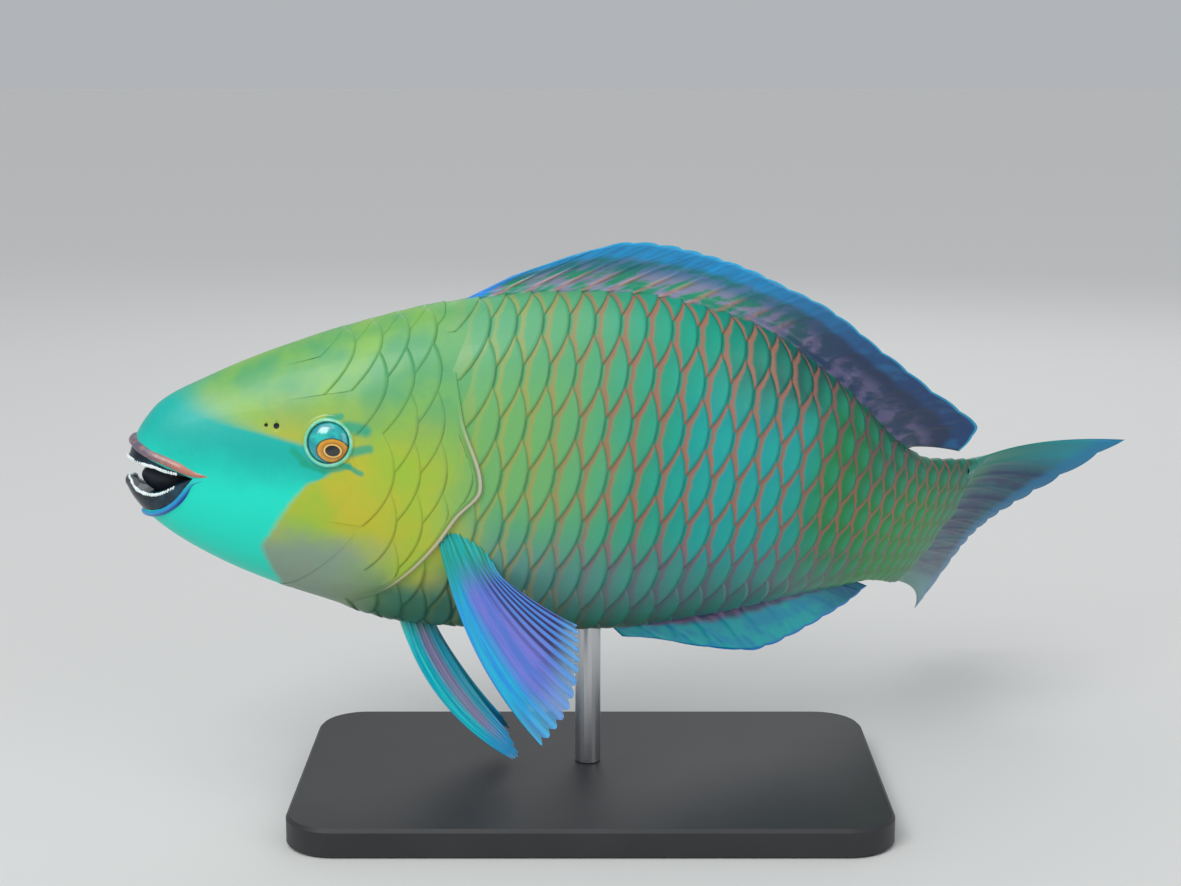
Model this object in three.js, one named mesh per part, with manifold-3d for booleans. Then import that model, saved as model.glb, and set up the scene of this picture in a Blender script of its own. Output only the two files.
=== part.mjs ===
// A full-grown male parrotfish swimming to the left, its tail swung away and twisted, held over a
// flat base by one rod. Millimetres, +Z up, the origin at the centre of the base's underside.
import * as THREE from "three";
import { mergeVertices } from "three/addons/utils/BufferGeometryUtils.js";
import Module from "manifold-3d";

const wasm = await Module();
wasm.setup();

// Driving sizes. Lengths along the fish are measured back from the front of its beak.
const BODY_LENGTH = 285;
const GAP = 0.3;
const SNOUT = new THREE.Vector3(-139.2, -12, 104);
const PITCH = 7.5;
const TRUNK_START = 60;
const TAIL_START = 172;
const STALK_START = 258;
const SPINE_STEP = 1;
const RING_POINTS = 36;

// How far the fish has turned away and twisted at each distance back, in degrees.
const YAW = curve([[0, 5], [80, 6], [130, 10], [180, 20], [230, 38], [285, 54]]);
const TWIST = curve([[0, 0], [130, 0], [180, 5], [230, 14], [285, 26]]);

// Height of the back above the line from beak to tail, depth of the belly below it, and half the
// width of the body.
const BACK = curve([
  [0, 6.5], [1.2, 12], [3, 17], [8, 24.6], [20, 33], [40, 44.4], [60, 53.5], [90, 64.6],
  [120, 71.2], [150, 73.6], [180, 69.3], [210, 54.4], [225, 44.5], [240, 35], [262, 27], [285, 26.6],
]);
const BELLY = curve([
  [0, 1.5], [3, 5.6], [8, 10.2], [20, 17.3], [40, 25], [60, 30], [90, 35.2], [120, 34.2],
  [150, 32], [180, 26.8], [225, 20], [250, 19.6], [262, 21.5], [285, 28],
]);
const HALF_WIDTH = curve([
  [0, 3], [3, 7], [8, 10], [20, 14], [40, 18.5], [60, 21.5], [80, 23.5], [105, 24.5],
  [135, 24], [165, 22], [195, 18], [225, 12.5], [250, 8.6], [270, 6.4], [285, 4.6],
]);
const WIDEST = 0.46;
const BACK_ROUNDNESS = 2.0;
const BELLY_ROUNDNESS = 2.25;

// The gill cover stands proud of the shoulder behind it.
const GILL_SWELL = 1;
const GILL_EDGE = [
  [90, 90], [91, 60], [96, 34], [103.8, 13.2], [98, 4.3], [93.1, -5], [86.9, -13.9],
  [77.4, -23.6], [70, -29], [66, -60],
];

// The mouth in side view, as distance back and height: the open gape, the line where the upper lip
// meets the beak, and the line where the lower lip meets it.
const MOUTH_CORNER = [20.5, 5];
const UPPER_EDGE = [[-3, 6.8], [1.5, 6.8], [5.5, 6.3], [8.7, 6.2], [11.8, 5.6], [16.9, 5.3]];
const LOWER_EDGE = [[-3, 0.5], [1.5, 0.5], [3.7, -2], [6.3, -2.8], [9.4, -2.6], [12.3, -1.2], [16.4, 2.4]];
const UPPER_LIP = [[-3, 11], [0.9, 10.5], [5, 9.1], [8.2, 8], [12.8, 6.7], [16.3, 6.1]];
const LOWER_LIP = [[-3, -9], [5.5, -8.4], [9.1, -7.6], [12.5, -5.9], [16.1, -2.4], [18.1, 1.2]];
const LIP_ROLL = 1.1;
const BEAK_INSET = 0.4;
const MOUTH_CENTRE = [12.2, 2];
const MOUTH_RADII = [9.6, 8, 5.6];

const EYE_PLACE = [58.6, 21.5];
const EYE_RADIUS = 6.3;
const EYE_PROFILE = [[0, -4], [5.8, -4], [6.3, -0.6], [5.6, 0.7], [4, 1.5], [2.1, 1.9], [0, 2]];
const ORBIT_RIM = 0.9;
const NOSTRILS = [[43.1, 24.2, 0.9], [40.1, 24, 0.6]];

// Rays of each fin, those of the dorsal in each of its two parts. Rake is how far a ray lies back
// from upright, lean how far it tips to the left, both in degrees against its root's distance back.
const RAY_HEIGHT = 0.34;
const RAY_FOOT = 0.3;
const TIP_NOTCH = 0.025;
const DORSAL = {
  rays: 10, rows: 5, from: 95, to: 247, root: 2.4, edge: 0.5, side: 1,
  length: curve([
    [95, 15], [103, 27], [112, 33], [125, 32], [155, 24], [185, 19], [205, 19], [224, 22.5],
    [240, 28.5], [247, 18],
  ]),
  rake: curve([[95, 57], [115, 57], [140, 60], [200, 61], [224, 65], [240, 69], [247, 80]]),
  lean: curve([[95, 0], [185, 3], [212, 8], [236, 18], [247, 28]]),
};
const ANAL = {
  rays: 12, rows: 5, from: 152, to: 247, root: 2.2, edge: 0.5, side: -1,
  length: curve([[152, 6], [160, 8.5], [168, 14], [176, 19], [188, 23.4], [205, 21.6], [225, 17], [247, 9]]),
  rake: curve([[152, 52], [195, 53], [215, 59], [235, 67], [247, 76]]),
  lean: curve([[152, 0], [195, 2], [225, 9], [247, 15]]),
};
const CAUDAL = {
  rays: 7, rows: 6, yaw: 48, pitch: 19, twist: 31, spread: 41, root: 3.4, edge: 0.5,
  reach: curve([[0, 36], [8, 37], [17, 41], [26, 49], [34, 62], [41, 80]]),
};
const PECTORAL = {
  rays: 13, rows: 5, root: 2.6, edge: 0.5, rise: 3.4,
  front: [95.2, -8.5], back: [107.5, -9.6], arch: 41, fold: 38,
  length: curve([[0, 63], [0.3, 58], [0.6, 47.5], [0.8, 40], [1, 33]]),
  drop: curve([[0, 55], [0.3, 48], [0.6, 39], [0.8, 33], [1, 25]]),
  out: curve([[0, 22], [1, 17]]),
  bow: curve([[0, 0.28], [1, 0.15]]),
};
const PELVIC = {
  rays: 6, rows: 5, from: 86, to: 96, aside: [6, 3.5], root: 1.8, edge: 0.5, fold: -1,
  length: curve([[0, 55], [0.5, 52], [1, 42]]),
  drop: curve([[0, 44], [0.5, 46], [1, 49]]),
  out: curve([[0, 12], [1, 6]]),
  bow: curve([[0, 0.42], [1, 0.12]]),
};

const BASE_SIZE = [180, 110, 9];
const BASE_CORNER = 14;
const BASE_BEVEL = 1;
const ROD_RADIUS = 4;
const ROD_AT = 145;
const ROD_DEPTH = 8;

// A smooth line through (x, y) points that doesn't swing past them.
function curve(points) {
  const slopes = points.slice(1).map(([x, y], i) => (y - points[i][1]) / (x - points[i][0]));
  const tangents = points.map((_, i) => {
    if (i === 0) return slopes[0];
    if (i === points.length - 1) return slopes[i - 1];
    const [before, after] = [slopes[i - 1], slopes[i]];
    return before * after <= 0 ? 0 : (2 * before * after) / (before + after);
  });
  return (x) => {
    const last = points.length - 1;
    if (x <= points[0][0]) return points[0][1];
    if (x >= points[last][0]) return points[last][1];
    const i = points.findIndex(([edge]) => edge > x) - 1;
    const span = points[i + 1][0] - points[i][0];
    const t = (x - points[i][0]) / span;
    const rise = points[i + 1][1] - points[i][1];
    const start = tangents[i] * span;
    const end = tangents[i + 1] * span;
    return points[i][1] + start * t + (3 * rise - 2 * start - end) * t ** 2 + (start + end - 2 * rise) * t ** 3;
  };
}

// Directions of a piece that is turned, pitched and twisted: back along it, up, and to its left.
function directions(yaw, pitch, twist) {
  const turn = THREE.MathUtils.degToRad(yaw);
  const roll = THREE.MathUtils.degToRad(twist);
  const tip = new THREE.Quaternion().setFromAxisAngle(new THREE.Vector3(0, 1, 0), THREE.MathUtils.degToRad(pitch));
  const upright = new THREE.Vector3(0, 0, 1);
  const flank = new THREE.Vector3(Math.sin(turn), -Math.cos(turn), 0);
  const up = upright.clone().multiplyScalar(Math.cos(roll)).addScaledVector(flank, Math.sin(roll));
  const left = flank.multiplyScalar(Math.cos(roll)).addScaledVector(upright, -Math.sin(roll));
  return {
    back: new THREE.Vector3(Math.cos(turn), Math.sin(turn), 0).applyQuaternion(tip),
    up: up.applyQuaternion(tip),
    left: left.applyQuaternion(tip),
  };
}

// The line from beak to tail, walked in short steps.
const spinePoints = [SNOUT.clone()];
for (let s = SPINE_STEP; s <= BODY_LENGTH + 2 * SPINE_STEP; s += SPINE_STEP) {
  const middle = s - SPINE_STEP / 2;
  const { back } = directions(YAW(middle), PITCH, TWIST(middle));
  spinePoints.push(spinePoints.at(-1).clone().addScaledVector(back, SPINE_STEP));
}

function spine(s) {
  const index = THREE.MathUtils.clamp(Math.floor(s / SPINE_STEP), 0, spinePoints.length - 2);
  const at = spinePoints[index].clone().lerp(spinePoints[index + 1], s / SPINE_STEP - index);
  return { at, ...directions(YAW(s), PITCH, TWIST(s)) };
}

// The point at a distance back, a height above the line, and a distance to the left of it.
function bodyPoint(s, height, left) {
  const here = spine(s);
  return here.at.addScaledVector(here.up, height).addScaledVector(here.left, left);
}

function widestHeight(s) {
  return WIDEST * BACK(s) - (1 - WIDEST) * BELLY(s);
}

// Half the body's width at a height, and the height of its belly at a distance to the side.
function halfWidthAt(s, height) {
  const middle = widestHeight(s);
  const above = height > middle;
  const reach = above ? BACK(s) - middle : middle + BELLY(s);
  const power = above ? BACK_ROUNDNESS : BELLY_ROUNDNESS;
  const share = Math.min(Math.abs(height - middle) / reach, 1);
  return HALF_WIDTH(s) * (1 - share ** power) ** (1 / power);
}

function bellyHeightAt(s, left) {
  const middle = widestHeight(s);
  const share = Math.min(Math.abs(left) / HALF_WIDTH(s), 1);
  return middle - (middle + BELLY(s)) * (1 - share ** BELLY_ROUNDNESS) ** (1 / BELLY_ROUNDNESS);
}

// One ring of the body, from the back round its left flank, belly and right flank.
function bodyRing(s, { inset = 0, swell = () => 0 } = {}) {
  const middle = widestHeight(s);
  return Array.from({ length: RING_POINTS }, (_, i) => {
    const angle = (i / RING_POINTS) * 2 * Math.PI;
    const above = Math.cos(angle) > 0;
    const power = 2 / (above ? BACK_ROUNDNESS : BELLY_ROUNDNESS);
    const reach = (above ? BACK(s) - middle : middle + BELLY(s)) - inset;
    const height = middle + Math.sign(Math.cos(angle)) * reach * Math.abs(Math.cos(angle)) ** power;
    const side = Math.sign(Math.sin(angle)) * Math.abs(Math.sin(angle)) ** power;
    return bodyPoint(s, height, side * (HALF_WIDTH(s) - inset + swell(s, height)));
  });
}

function geometry(points, faces) {
  const made = new THREE.BufferGeometry();
  made.setAttribute("position", new THREE.Float32BufferAttribute(points.flatMap((p) => p.toArray()), 3));
  made.setIndex(faces.flat());
  return made;
}

// A closed body through rings of points, each end closed by a fan to its middle.
function loft(rings) {
  const count = rings[0].length;
  const points = rings.flat();
  const faces = [];
  for (let r = 0; r < rings.length - 1; r++) {
    for (let i = 0; i < count; i++) {
      const [a, b] = [r * count + i, r * count + ((i + 1) % count)];
      faces.push([a, b, b + count], [a, b + count, a + count]);
    }
  }
  for (const r of [0, rings.length - 1]) {
    const centre = new THREE.Vector3();
    rings[r].forEach((p) => centre.addScaledVector(p, 1 / count));
    points.push(centre);
    for (let i = 0; i < count; i++) {
      const edge = [r * count + i, r * count + ((i + 1) % count)];
      faces.push(r === 0 ? [points.length - 1, edge[1], edge[0]] : [points.length - 1, ...edge]);
    }
  }
  return geometry(points, faces);
}

// A closed fin: a sheet of rays and the membrane between them, each ray a ridge in both faces.
// Both faces are split into triangles alike.
function fin({ rays, rows, root, edge }, place, facing, rootSide = facing) {
  const columns = [];
  for (let ray = 0; ray < rays; ray++) {
    columns.push([ray, 1]);
    if (ray < rays - 1) columns.push([ray + RAY_FOOT, 0], [ray + 1 - RAY_FOOT, 0]);
  }
  const width = columns.length;
  const sheet = [];
  for (let row = 0; row <= rows; row++) {
    for (const [ray, ridge] of columns) {
      const notch = 1 - TIP_NOTCH * (1 - ridge);
      sheet.push(place(ray / (rays - 1), (row / rows) * notch));
    }
  }
  const pick = (row, column) => sheet[
    THREE.MathUtils.clamp(row, 0, rows) * width + THREE.MathUtils.clamp(column, 0, width - 1)
  ];
  const faces = [];
  const halves = [1, -1].map((face) => sheet.map((point, index) => {
    const [row, column] = [Math.floor(index / width), index % width];
    const across = pick(row, column + 1).clone().sub(pick(row, column - 1));
    const along = pick(row + 1, column).clone().sub(pick(row - 1, column));
    const u = columns[column][0] / (rays - 1);
    const normal = row === 0 ? rootSide(u) : across.cross(along).normalize();
    if (row > 0 && normal.dot(facing(u)) < 0) normal.negate();
    const thick = THREE.MathUtils.lerp(root, edge, Math.min(1, (row / rows) * 1.8))
      + RAY_HEIGHT * 2 * columns[column][1] * (1 - (0.6 * row) / rows);
    return point.clone().addScaledVector(normal, (face * thick) / 2);
  }));
  const size = sheet.length;
  for (let row = 0; row < rows; row++) {
    for (let column = 0; column < width - 1; column++) {
      const [a, b] = [row * width + column, row * width + column + 1];
      const [c, d] = [b + width, a + width];
      faces.push([a, b, c], [a, c, d], [size + a, size + c, size + b], [size + a, size + d, size + c]);
    }
  }
  const rim = [];
  for (let column = 0; column < width - 1; column++) rim.push(column);
  for (let row = 0; row < rows; row++) rim.push(row * width + width - 1);
  for (let column = width - 1; column > 0; column--) rim.push(rows * width + column);
  for (let row = rows; row > 0; row--) rim.push(row * width);
  rim.forEach((a, i) => {
    const b = rim[(i + 1) % rim.length];
    faces.push([a, size + a, size + b], [a, size + b, b]);
  });
  const made = geometry(halves.flat(), faces);
  return volumeOf(made) > 0 ? made : flipped(made);
}

function volumeOf(made) {
  const index = made.getIndex().array;
  const at = made.getAttribute("position");
  const corner = (i) => new THREE.Vector3().fromBufferAttribute(at, index[i]);
  let six = 0;
  for (let i = 0; i < index.length; i += 3) six += corner(i).dot(corner(i + 1).cross(corner(i + 2)));
  return six / 6;
}

function flipped(made) {
  const index = Array.from(made.getIndex().array);
  for (let i = 0; i < index.length; i += 3) [index[i + 1], index[i + 2]] = [index[i + 2], index[i + 1]];
  made.setIndex(index);
  return made;
}

// Between closed shapes and solids that can be cut and joined.
function solid(made) {
  const bare = made.clone();
  for (const name of Object.keys(bare.attributes)) if (name !== "position") bare.deleteAttribute(name);
  const merged = mergeVertices(bare, 1e-4);
  const vertProperties = new Float32Array(merged.getAttribute("position").array);
  const triVerts = new Uint32Array(merged.getIndex().array);
  return new wasm.Manifold(new wasm.Mesh({ numProp: 3, vertProperties, triVerts }));
}

// The largest closed body of a cut solid.
function shape(whole) {
  const bodies = whole.decompose().sort((a, b) => b.volume() - a.volume());
  const mesh = bodies[0].getMesh();
  const made = new THREE.BufferGeometry();
  made.setAttribute("position", new THREE.BufferAttribute(mesh.vertProperties, 3));
  made.setIndex(new THREE.BufferAttribute(mesh.triVerts, 1));
  return made;
}

// A prism across the head whose outline is given as distance back and height.
const headFrame = spine(0);
const acrossHead = new THREE.Matrix4()
  .makeBasis(headFrame.back, headFrame.up, headFrame.left)
  .setPosition(headFrame.at);
const PRISM_WIDTH = 140;

function prism(outline, grow = 0) {
  const side = new THREE.Shape(outline.map(([s, height]) => new THREE.Vector2(s, height)));
  const settings = { depth: PRISM_WIDTH, bevelEnabled: grow > 0 };
  if (grow > 0) Object.assign(settings, { bevelThickness: grow, bevelSize: grow, bevelSegments: 1 });
  const made = new THREE.ExtrudeGeometry(side, settings).translate(0, 0, -PRISM_WIDTH / 2);
  return solid(made.applyMatrix4(acrossHead));
}

// A roll of flesh that follows a line on the head from one side round the front to the other.
function lipRoll(line, front, radius) {
  const onSkin = ([s, height]) => bodyPoint(s, height, halfWidthAt(s, height) - radius * 0.35);
  const mirrored = ([s, height]) => bodyPoint(s, height, -halfWidthAt(s, height) + radius * 0.35);
  const path = new THREE.CatmullRomCurve3([
    ...line.map(onSkin), bodyPoint(front[0], front[1], 0), ...line.toReversed().map(mirrored),
  ]);
  const round = new THREE.Shape().absellipse(0, 0, radius, radius, 0, 2 * Math.PI, false, 0);
  return solid(new THREE.ExtrudeGeometry(round, { steps: 26, curveSegments: 4, extrudePath: path }));
}

// Outward frame on the flank, used to set the eyes and nostrils in the skin.
function flankPlace([s, height], face) {
  const point = (ds, dh) => bodyPoint(s + ds, height + dh, face * halfWidthAt(s + ds, height + dh));
  const along = point(1, 0).sub(point(-1, 0)).normalize();
  const upward = point(0, 1).sub(point(0, -1)).normalize();
  const outward = along.clone().cross(upward).normalize().multiplyScalar(face);
  const side = upward.clone().cross(outward).normalize();
  return new THREE.Matrix4().makeBasis(side, upward.clone().sub(outward.clone()
    .multiplyScalar(outward.dot(upward))).normalize(), outward).setPosition(point(0, 0));
}

function rings(from, to, spacing, options) {
  const count = Math.max(1, Math.round((to - from) / spacing));
  return Array.from({ length: count + 1 }, (_, i) => bodyRing(from + ((to - from) * i) / count, options));
}

// The skin of the head swells gently towards the free edge of the gill cover.
function gillSwell(s, height) {
  const backward = THREE.MathUtils.smoothstep(s, 66, 100);
  const low = 1 - THREE.MathUtils.smoothstep(height, 14, 40);
  return GILL_SWELL * backward * low;
}

const SNOUT_STATIONS = [0, 0.5, 1.2, 2.2, 3.6, 5.4, 8, 11, 14.5, 18.5];

function headLoft(inset) {
  const snout = SNOUT_STATIONS.map((s) => bodyRing(s, { inset }));
  return solid(loft([...snout, ...rings(23, 107, 5.6, { inset, swell: gillSwell })]));
}

// Nodes of the fish. Each is one closed body in its own place.
const fish = new THREE.Group();

function add(name, made, colour, roughness = 0.55, metalness = 0) {
  const mesh = new THREE.Mesh(made, new THREE.MeshStandardMaterial({ color: colour, roughness, metalness }));
  mesh.name = name;
  fish.add(mesh);
}

const gillFront = [[-20, -60], [-20, 90], ...GILL_EDGE];
const gape = [...UPPER_EDGE, MOUTH_CORNER, ...LOWER_EDGE.toReversed()];
const upperBeak = [...UPPER_LIP, MOUTH_CORNER, ...UPPER_EDGE.toReversed()];
const lowerBeak = [...LOWER_EDGE, MOUTH_CORNER, ...LOWER_LIP.toReversed()];
const mouthHollow = solid(new THREE.SphereGeometry(1, 20, 12)
  .applyMatrix4(new THREE.Matrix4().makeScale(MOUTH_RADII[0], MOUTH_RADII[2], MOUTH_RADII[1]))
  .translate(MOUTH_CENTRE[0], MOUTH_CENTRE[1], 0)
  .applyMatrix4(acrossHead));

let head = headLoft(0)
  .add(lipRoll([[27, 6.7], [21, 6.7], [16, 7.9], [12, 8.8], [8, 9.8], [4.5, 11.2]], [0.9, 12.6], LIP_ROLL))
  .add(lipRoll([[25, 5.2], [20.5, 3.4], [18.4, -0.2], [15.5, -4.4], [11.5, -7.6]], [6.5, -9.9], LIP_ROLL))
  .intersect(prism(gillFront));
for (const cut of [prism(gape), prism(upperBeak, GAP), prism(lowerBeak, GAP), mouthHollow]) {
  head = head.subtract(cut);
}
for (const face of [1, -1]) {
  const place = flankPlace(EYE_PLACE, face);
  const socketWall = [[0, -4 - GAP], ...EYE_PROFILE.slice(1, 3).map(([r, z]) => [r + GAP, z - GAP]),
    [EYE_RADIUS + GAP, 6], [0, 6]];
  const lathe = (profile, segments) => new THREE.LatheGeometry(
    profile.map(([r, z]) => new THREE.Vector2(r, z)), segments).rotateX(Math.PI / 2);
  const rim = new THREE.TorusGeometry(EYE_RADIUS + GAP + ORBIT_RIM / 2, ORBIT_RIM, 6, 24);
  head = head.add(solid(rim.applyMatrix4(place)))
    .subtract(solid(lathe(socketWall, 24).applyMatrix4(place)));
  for (const [s, height, radius] of NOSTRILS) {
    const pit = new THREE.SphereGeometry(radius, 8, 6).applyMatrix4(flankPlace([s, height], face));
    head = head.subtract(solid(pit));
  }
  add(face > 0 ? "eye_left" : "eye_right", shape(solid(lathe(EYE_PROFILE, 20).applyMatrix4(place))), 0x8a6a30, 0.15);
}
add("head", shape(head), 0x3fb49a);

const snout = headLoft(BEAK_INSET);
add("beak_upper", shape(snout.intersect(prism(upperBeak)).subtract(mouthHollow)), 0x10303c, 0.25);
add("beak_lower", shape(snout.intersect(prism(lowerBeak)).subtract(mouthHollow)), 0x10303c, 0.25);

// The trunk starts at the gill opening and carries the socket of the rod.
const rodTop = bodyPoint(ROD_AT, -BELLY(ROD_AT), 0);
rodTop.z += ROD_DEPTH;
function upright(radius, from, to, segments) {
  return new THREE.CylinderGeometry(radius, radius, to - from, segments)
    .rotateX(Math.PI / 2).translate(rodTop.x, rodTop.y, (from + to) / 2);
}
const trunk = solid(loft(rings(TRUNK_START, TAIL_START - GAP / 2, 7)))
  .subtract(prism(gillFront, GAP))
  .subtract(solid(upright(ROD_RADIUS + GAP, 0, rodTop.z, 20)));
add("trunk", shape(trunk), 0x3a9a80);
add("tail", loft(rings(TAIL_START + GAP / 2, STALK_START - GAP / 2, 6.6)), 0x1f8f78);
add("tail_stalk", loft(rings(STALK_START + GAP / 2, BODY_LENGTH, 5.4)), 0x1d7a50);

// Dorsal and anal fins stand on the midline of the back and of the belly. The long dorsal is parted
// down the middle of the ray above the cut between trunk and tail.
function midlineFin(sizes, from = sizes.from, to = sizes.to) {
  const profile = sizes.side > 0 ? BACK : BELLY;
  const rootAt = (u) => THREE.MathUtils.lerp(from, to, u);
  const place = (u, v) => {
    const s = rootAt(u);
    const here = spine(s);
    const rake = THREE.MathUtils.degToRad(sizes.rake(s));
    const lean = THREE.MathUtils.degToRad(sizes.lean(s) * (0.4 + 0.6 * v));
    const ray = here.up.clone().multiplyScalar(sizes.side * Math.cos(rake)).addScaledVector(here.back, Math.sin(rake));
    ray.multiplyScalar(Math.cos(lean)).addScaledVector(here.left, Math.sin(lean));
    return bodyPoint(s, sizes.side * (profile(s) + GAP), 0).addScaledVector(ray, sizes.length(s) * v);
  };
  return fin(sizes, place, (u) => spine(rootAt(u)).left);
}
add("dorsal_fin_front", midlineFin(DORSAL, DORSAL.from, TAIL_START - GAP), 0x1a7fa8, 0.45);
add("dorsal_fin_rear", midlineFin(DORSAL, TAIL_START + GAP, DORSAL.to), 0x1a7fa8, 0.45);
add("anal_fin", midlineFin(ANAL), 0x20a0b4, 0.45);

// The caudal fin is two lobes fanned from the end of the stalk, parted along the middle.
function caudalLobe(side) {
  const end = spine(BODY_LENGTH);
  const fan = directions(CAUDAL.yaw, CAUDAL.pitch, CAUDAL.twist);
  const rootHeight = (side > 0 ? BACK(BODY_LENGTH) : BELLY(BODY_LENGTH)) - 0.6;
  const place = (u, v) => {
    const root = end.at.clone()
      .addScaledVector(end.up, side * THREE.MathUtils.lerp(GAP / 2, rootHeight, u))
      .addScaledVector(end.back, GAP);
    const angle = THREE.MathUtils.degToRad(CAUDAL.spread * u ** 0.9);
    const reach = CAUDAL.reach(CAUDAL.spread * u ** 0.9);
    const tip = end.at.clone()
      .addScaledVector(fan.back, reach * Math.cos(angle))
      .addScaledVector(fan.up, side * (reach * Math.sin(angle) + GAP / 2));
    const lead = root.clone().addScaledVector(end.back, reach * 0.45)
      .addScaledVector(end.up, side * reach * 0.1 * u);
    return new THREE.QuadraticBezierCurve3(root, lead, tip).getPoint(v);
  };
  return fin(CAUDAL, place, () => end.left);
}
add("caudal_fin_upper", caudalLobe(1), 0x14807c, 0.45);
add("caudal_fin_lower", caudalLobe(-1), 0x14807c, 0.45);

// A paired fin: rays that leave the body downwards, backwards and outwards, bowed forwards.
function pairedFin(sizes, face, fold, rootPoint, facing, rootSide) {
  const here = spine(sizes.from ?? sizes.front[0]);
  const place = (u, v) => {
    const drop = THREE.MathUtils.degToRad(sizes.drop(u) - fold);
    const out = THREE.MathUtils.degToRad(sizes.out(u));
    const ray = here.back.clone().multiplyScalar(Math.cos(drop)).addScaledVector(here.up, -Math.sin(drop));
    const forward = here.back.clone().multiplyScalar(-Math.sin(drop)).addScaledVector(here.up, -Math.cos(drop));
    ray.multiplyScalar(Math.cos(out)).addScaledVector(here.left, face * Math.sin(out));
    const length = sizes.length(u);
    return rootPoint(u)
      .addScaledVector(ray, length * v)
      .addScaledVector(forward, length * sizes.bow(u) * v * (1 - v));
  };
  return fin(sizes, place, facing, rootSide);
}

// The pectoral fin grows from an arched line low on the flank, just behind the gill cover.
function pectoral(face) {
  const rootPoint = (u) => {
    const s = THREE.MathUtils.lerp(PECTORAL.front[0], PECTORAL.back[0], u);
    const height = THREE.MathUtils.lerp(PECTORAL.front[1], PECTORAL.back[1], u)
      + PECTORAL.rise * Math.sin(Math.PI * u);
    return bodyPoint(s, height, face * (halfWidthAt(s, height) + 2 * GAP));
  };
  const here = spine(PECTORAL.front[0]);
  const acrossRoot = (u) => {
    const slant = THREE.MathUtils.degToRad(PECTORAL.arch * (2 * u - 1));
    return here.up.clone().multiplyScalar(Math.cos(slant)).addScaledVector(here.back, Math.sin(slant));
  };
  const outward = () => here.left.clone().multiplyScalar(face);
  return pairedFin(PECTORAL, face, face > 0 ? 0 : PECTORAL.fold, rootPoint, outward, acrossRoot);
}
add("pectoral_fin_left", pectoral(1), 0x2a8fc4, 0.45);
add("pectoral_fin_right", pectoral(-1), 0x2a8fc4, 0.45);

// The pelvic fins grow side by side from the belly.
function pelvic(face) {
  const rootPoint = (u) => {
    const s = THREE.MathUtils.lerp(PELVIC.from, PELVIC.to, u);
    const aside = THREE.MathUtils.lerp(...PELVIC.aside, u);
    return bodyPoint(s, bellyHeightAt(s, aside) - 1.5 * GAP, face * aside);
  };
  return pairedFin(PELVIC, face, face > 0 ? 0 : PELVIC.fold, rootPoint, () => spine(PELVIC.from).left);
}
add("pelvic_fin_left", pelvic(1), 0x20c0c0, 0.45);
add("pelvic_fin_right", pelvic(-1), 0x20c0c0, 0.45);

// The stand is a flat base with rounded corners and one round rod.
function standBase() {
  const [width, depth, height] = BASE_SIZE;
  const [x, y, r] = [width / 2 - BASE_BEVEL, depth / 2 - BASE_BEVEL, BASE_CORNER];
  const outline = new THREE.Shape()
    .moveTo(-x + r, -y).lineTo(x - r, -y).absarc(x - r, -y + r, r, -Math.PI / 2, 0)
    .lineTo(x, y - r).absarc(x - r, y - r, r, 0, Math.PI / 2)
    .lineTo(-x + r, y).absarc(-x + r, y - r, r, Math.PI / 2, Math.PI)
    .lineTo(-x, -y + r).absarc(-x + r, -y + r, r, Math.PI, 1.5 * Math.PI);
  const settings = {
    depth: height - 2 * BASE_BEVEL, curveSegments: 8,
    bevelThickness: BASE_BEVEL, bevelSize: BASE_BEVEL, bevelSegments: 1,
  };
  return new THREE.ExtrudeGeometry(outline, settings).translate(0, 0, BASE_BEVEL);
}
add("stand_base", shape(solid(standBase())), 0x2a2a2c, 0.5);
add("stand_rod", upright(ROD_RADIUS, BASE_SIZE[2] + GAP, rodTop.z - GAP, 20), 0xb8bcc0, 0.3, 1);

export default fish;
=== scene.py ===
import bpy
import bmesh
import math
import random
from mathutils import Matrix, Vector, Quaternion


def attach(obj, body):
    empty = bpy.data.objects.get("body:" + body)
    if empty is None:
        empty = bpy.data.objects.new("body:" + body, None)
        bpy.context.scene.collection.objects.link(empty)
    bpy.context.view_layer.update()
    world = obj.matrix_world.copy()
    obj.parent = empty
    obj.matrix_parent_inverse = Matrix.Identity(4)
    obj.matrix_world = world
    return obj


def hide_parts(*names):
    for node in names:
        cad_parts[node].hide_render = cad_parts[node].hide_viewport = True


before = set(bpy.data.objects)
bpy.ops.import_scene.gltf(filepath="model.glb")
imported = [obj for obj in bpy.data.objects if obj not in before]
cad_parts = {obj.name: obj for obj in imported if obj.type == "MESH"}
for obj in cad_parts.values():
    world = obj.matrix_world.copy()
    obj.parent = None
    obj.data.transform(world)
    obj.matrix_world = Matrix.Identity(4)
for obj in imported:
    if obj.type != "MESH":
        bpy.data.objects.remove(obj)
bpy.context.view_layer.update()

# Body form. The fish's flesh is one loft of oval sections along a line from the beak to the root of
# the tail fin, which swings away and twists. Sizes are millimetres, distances are back from the beak.
MM = 0.001
CURVE_STEPS = 2400


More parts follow.
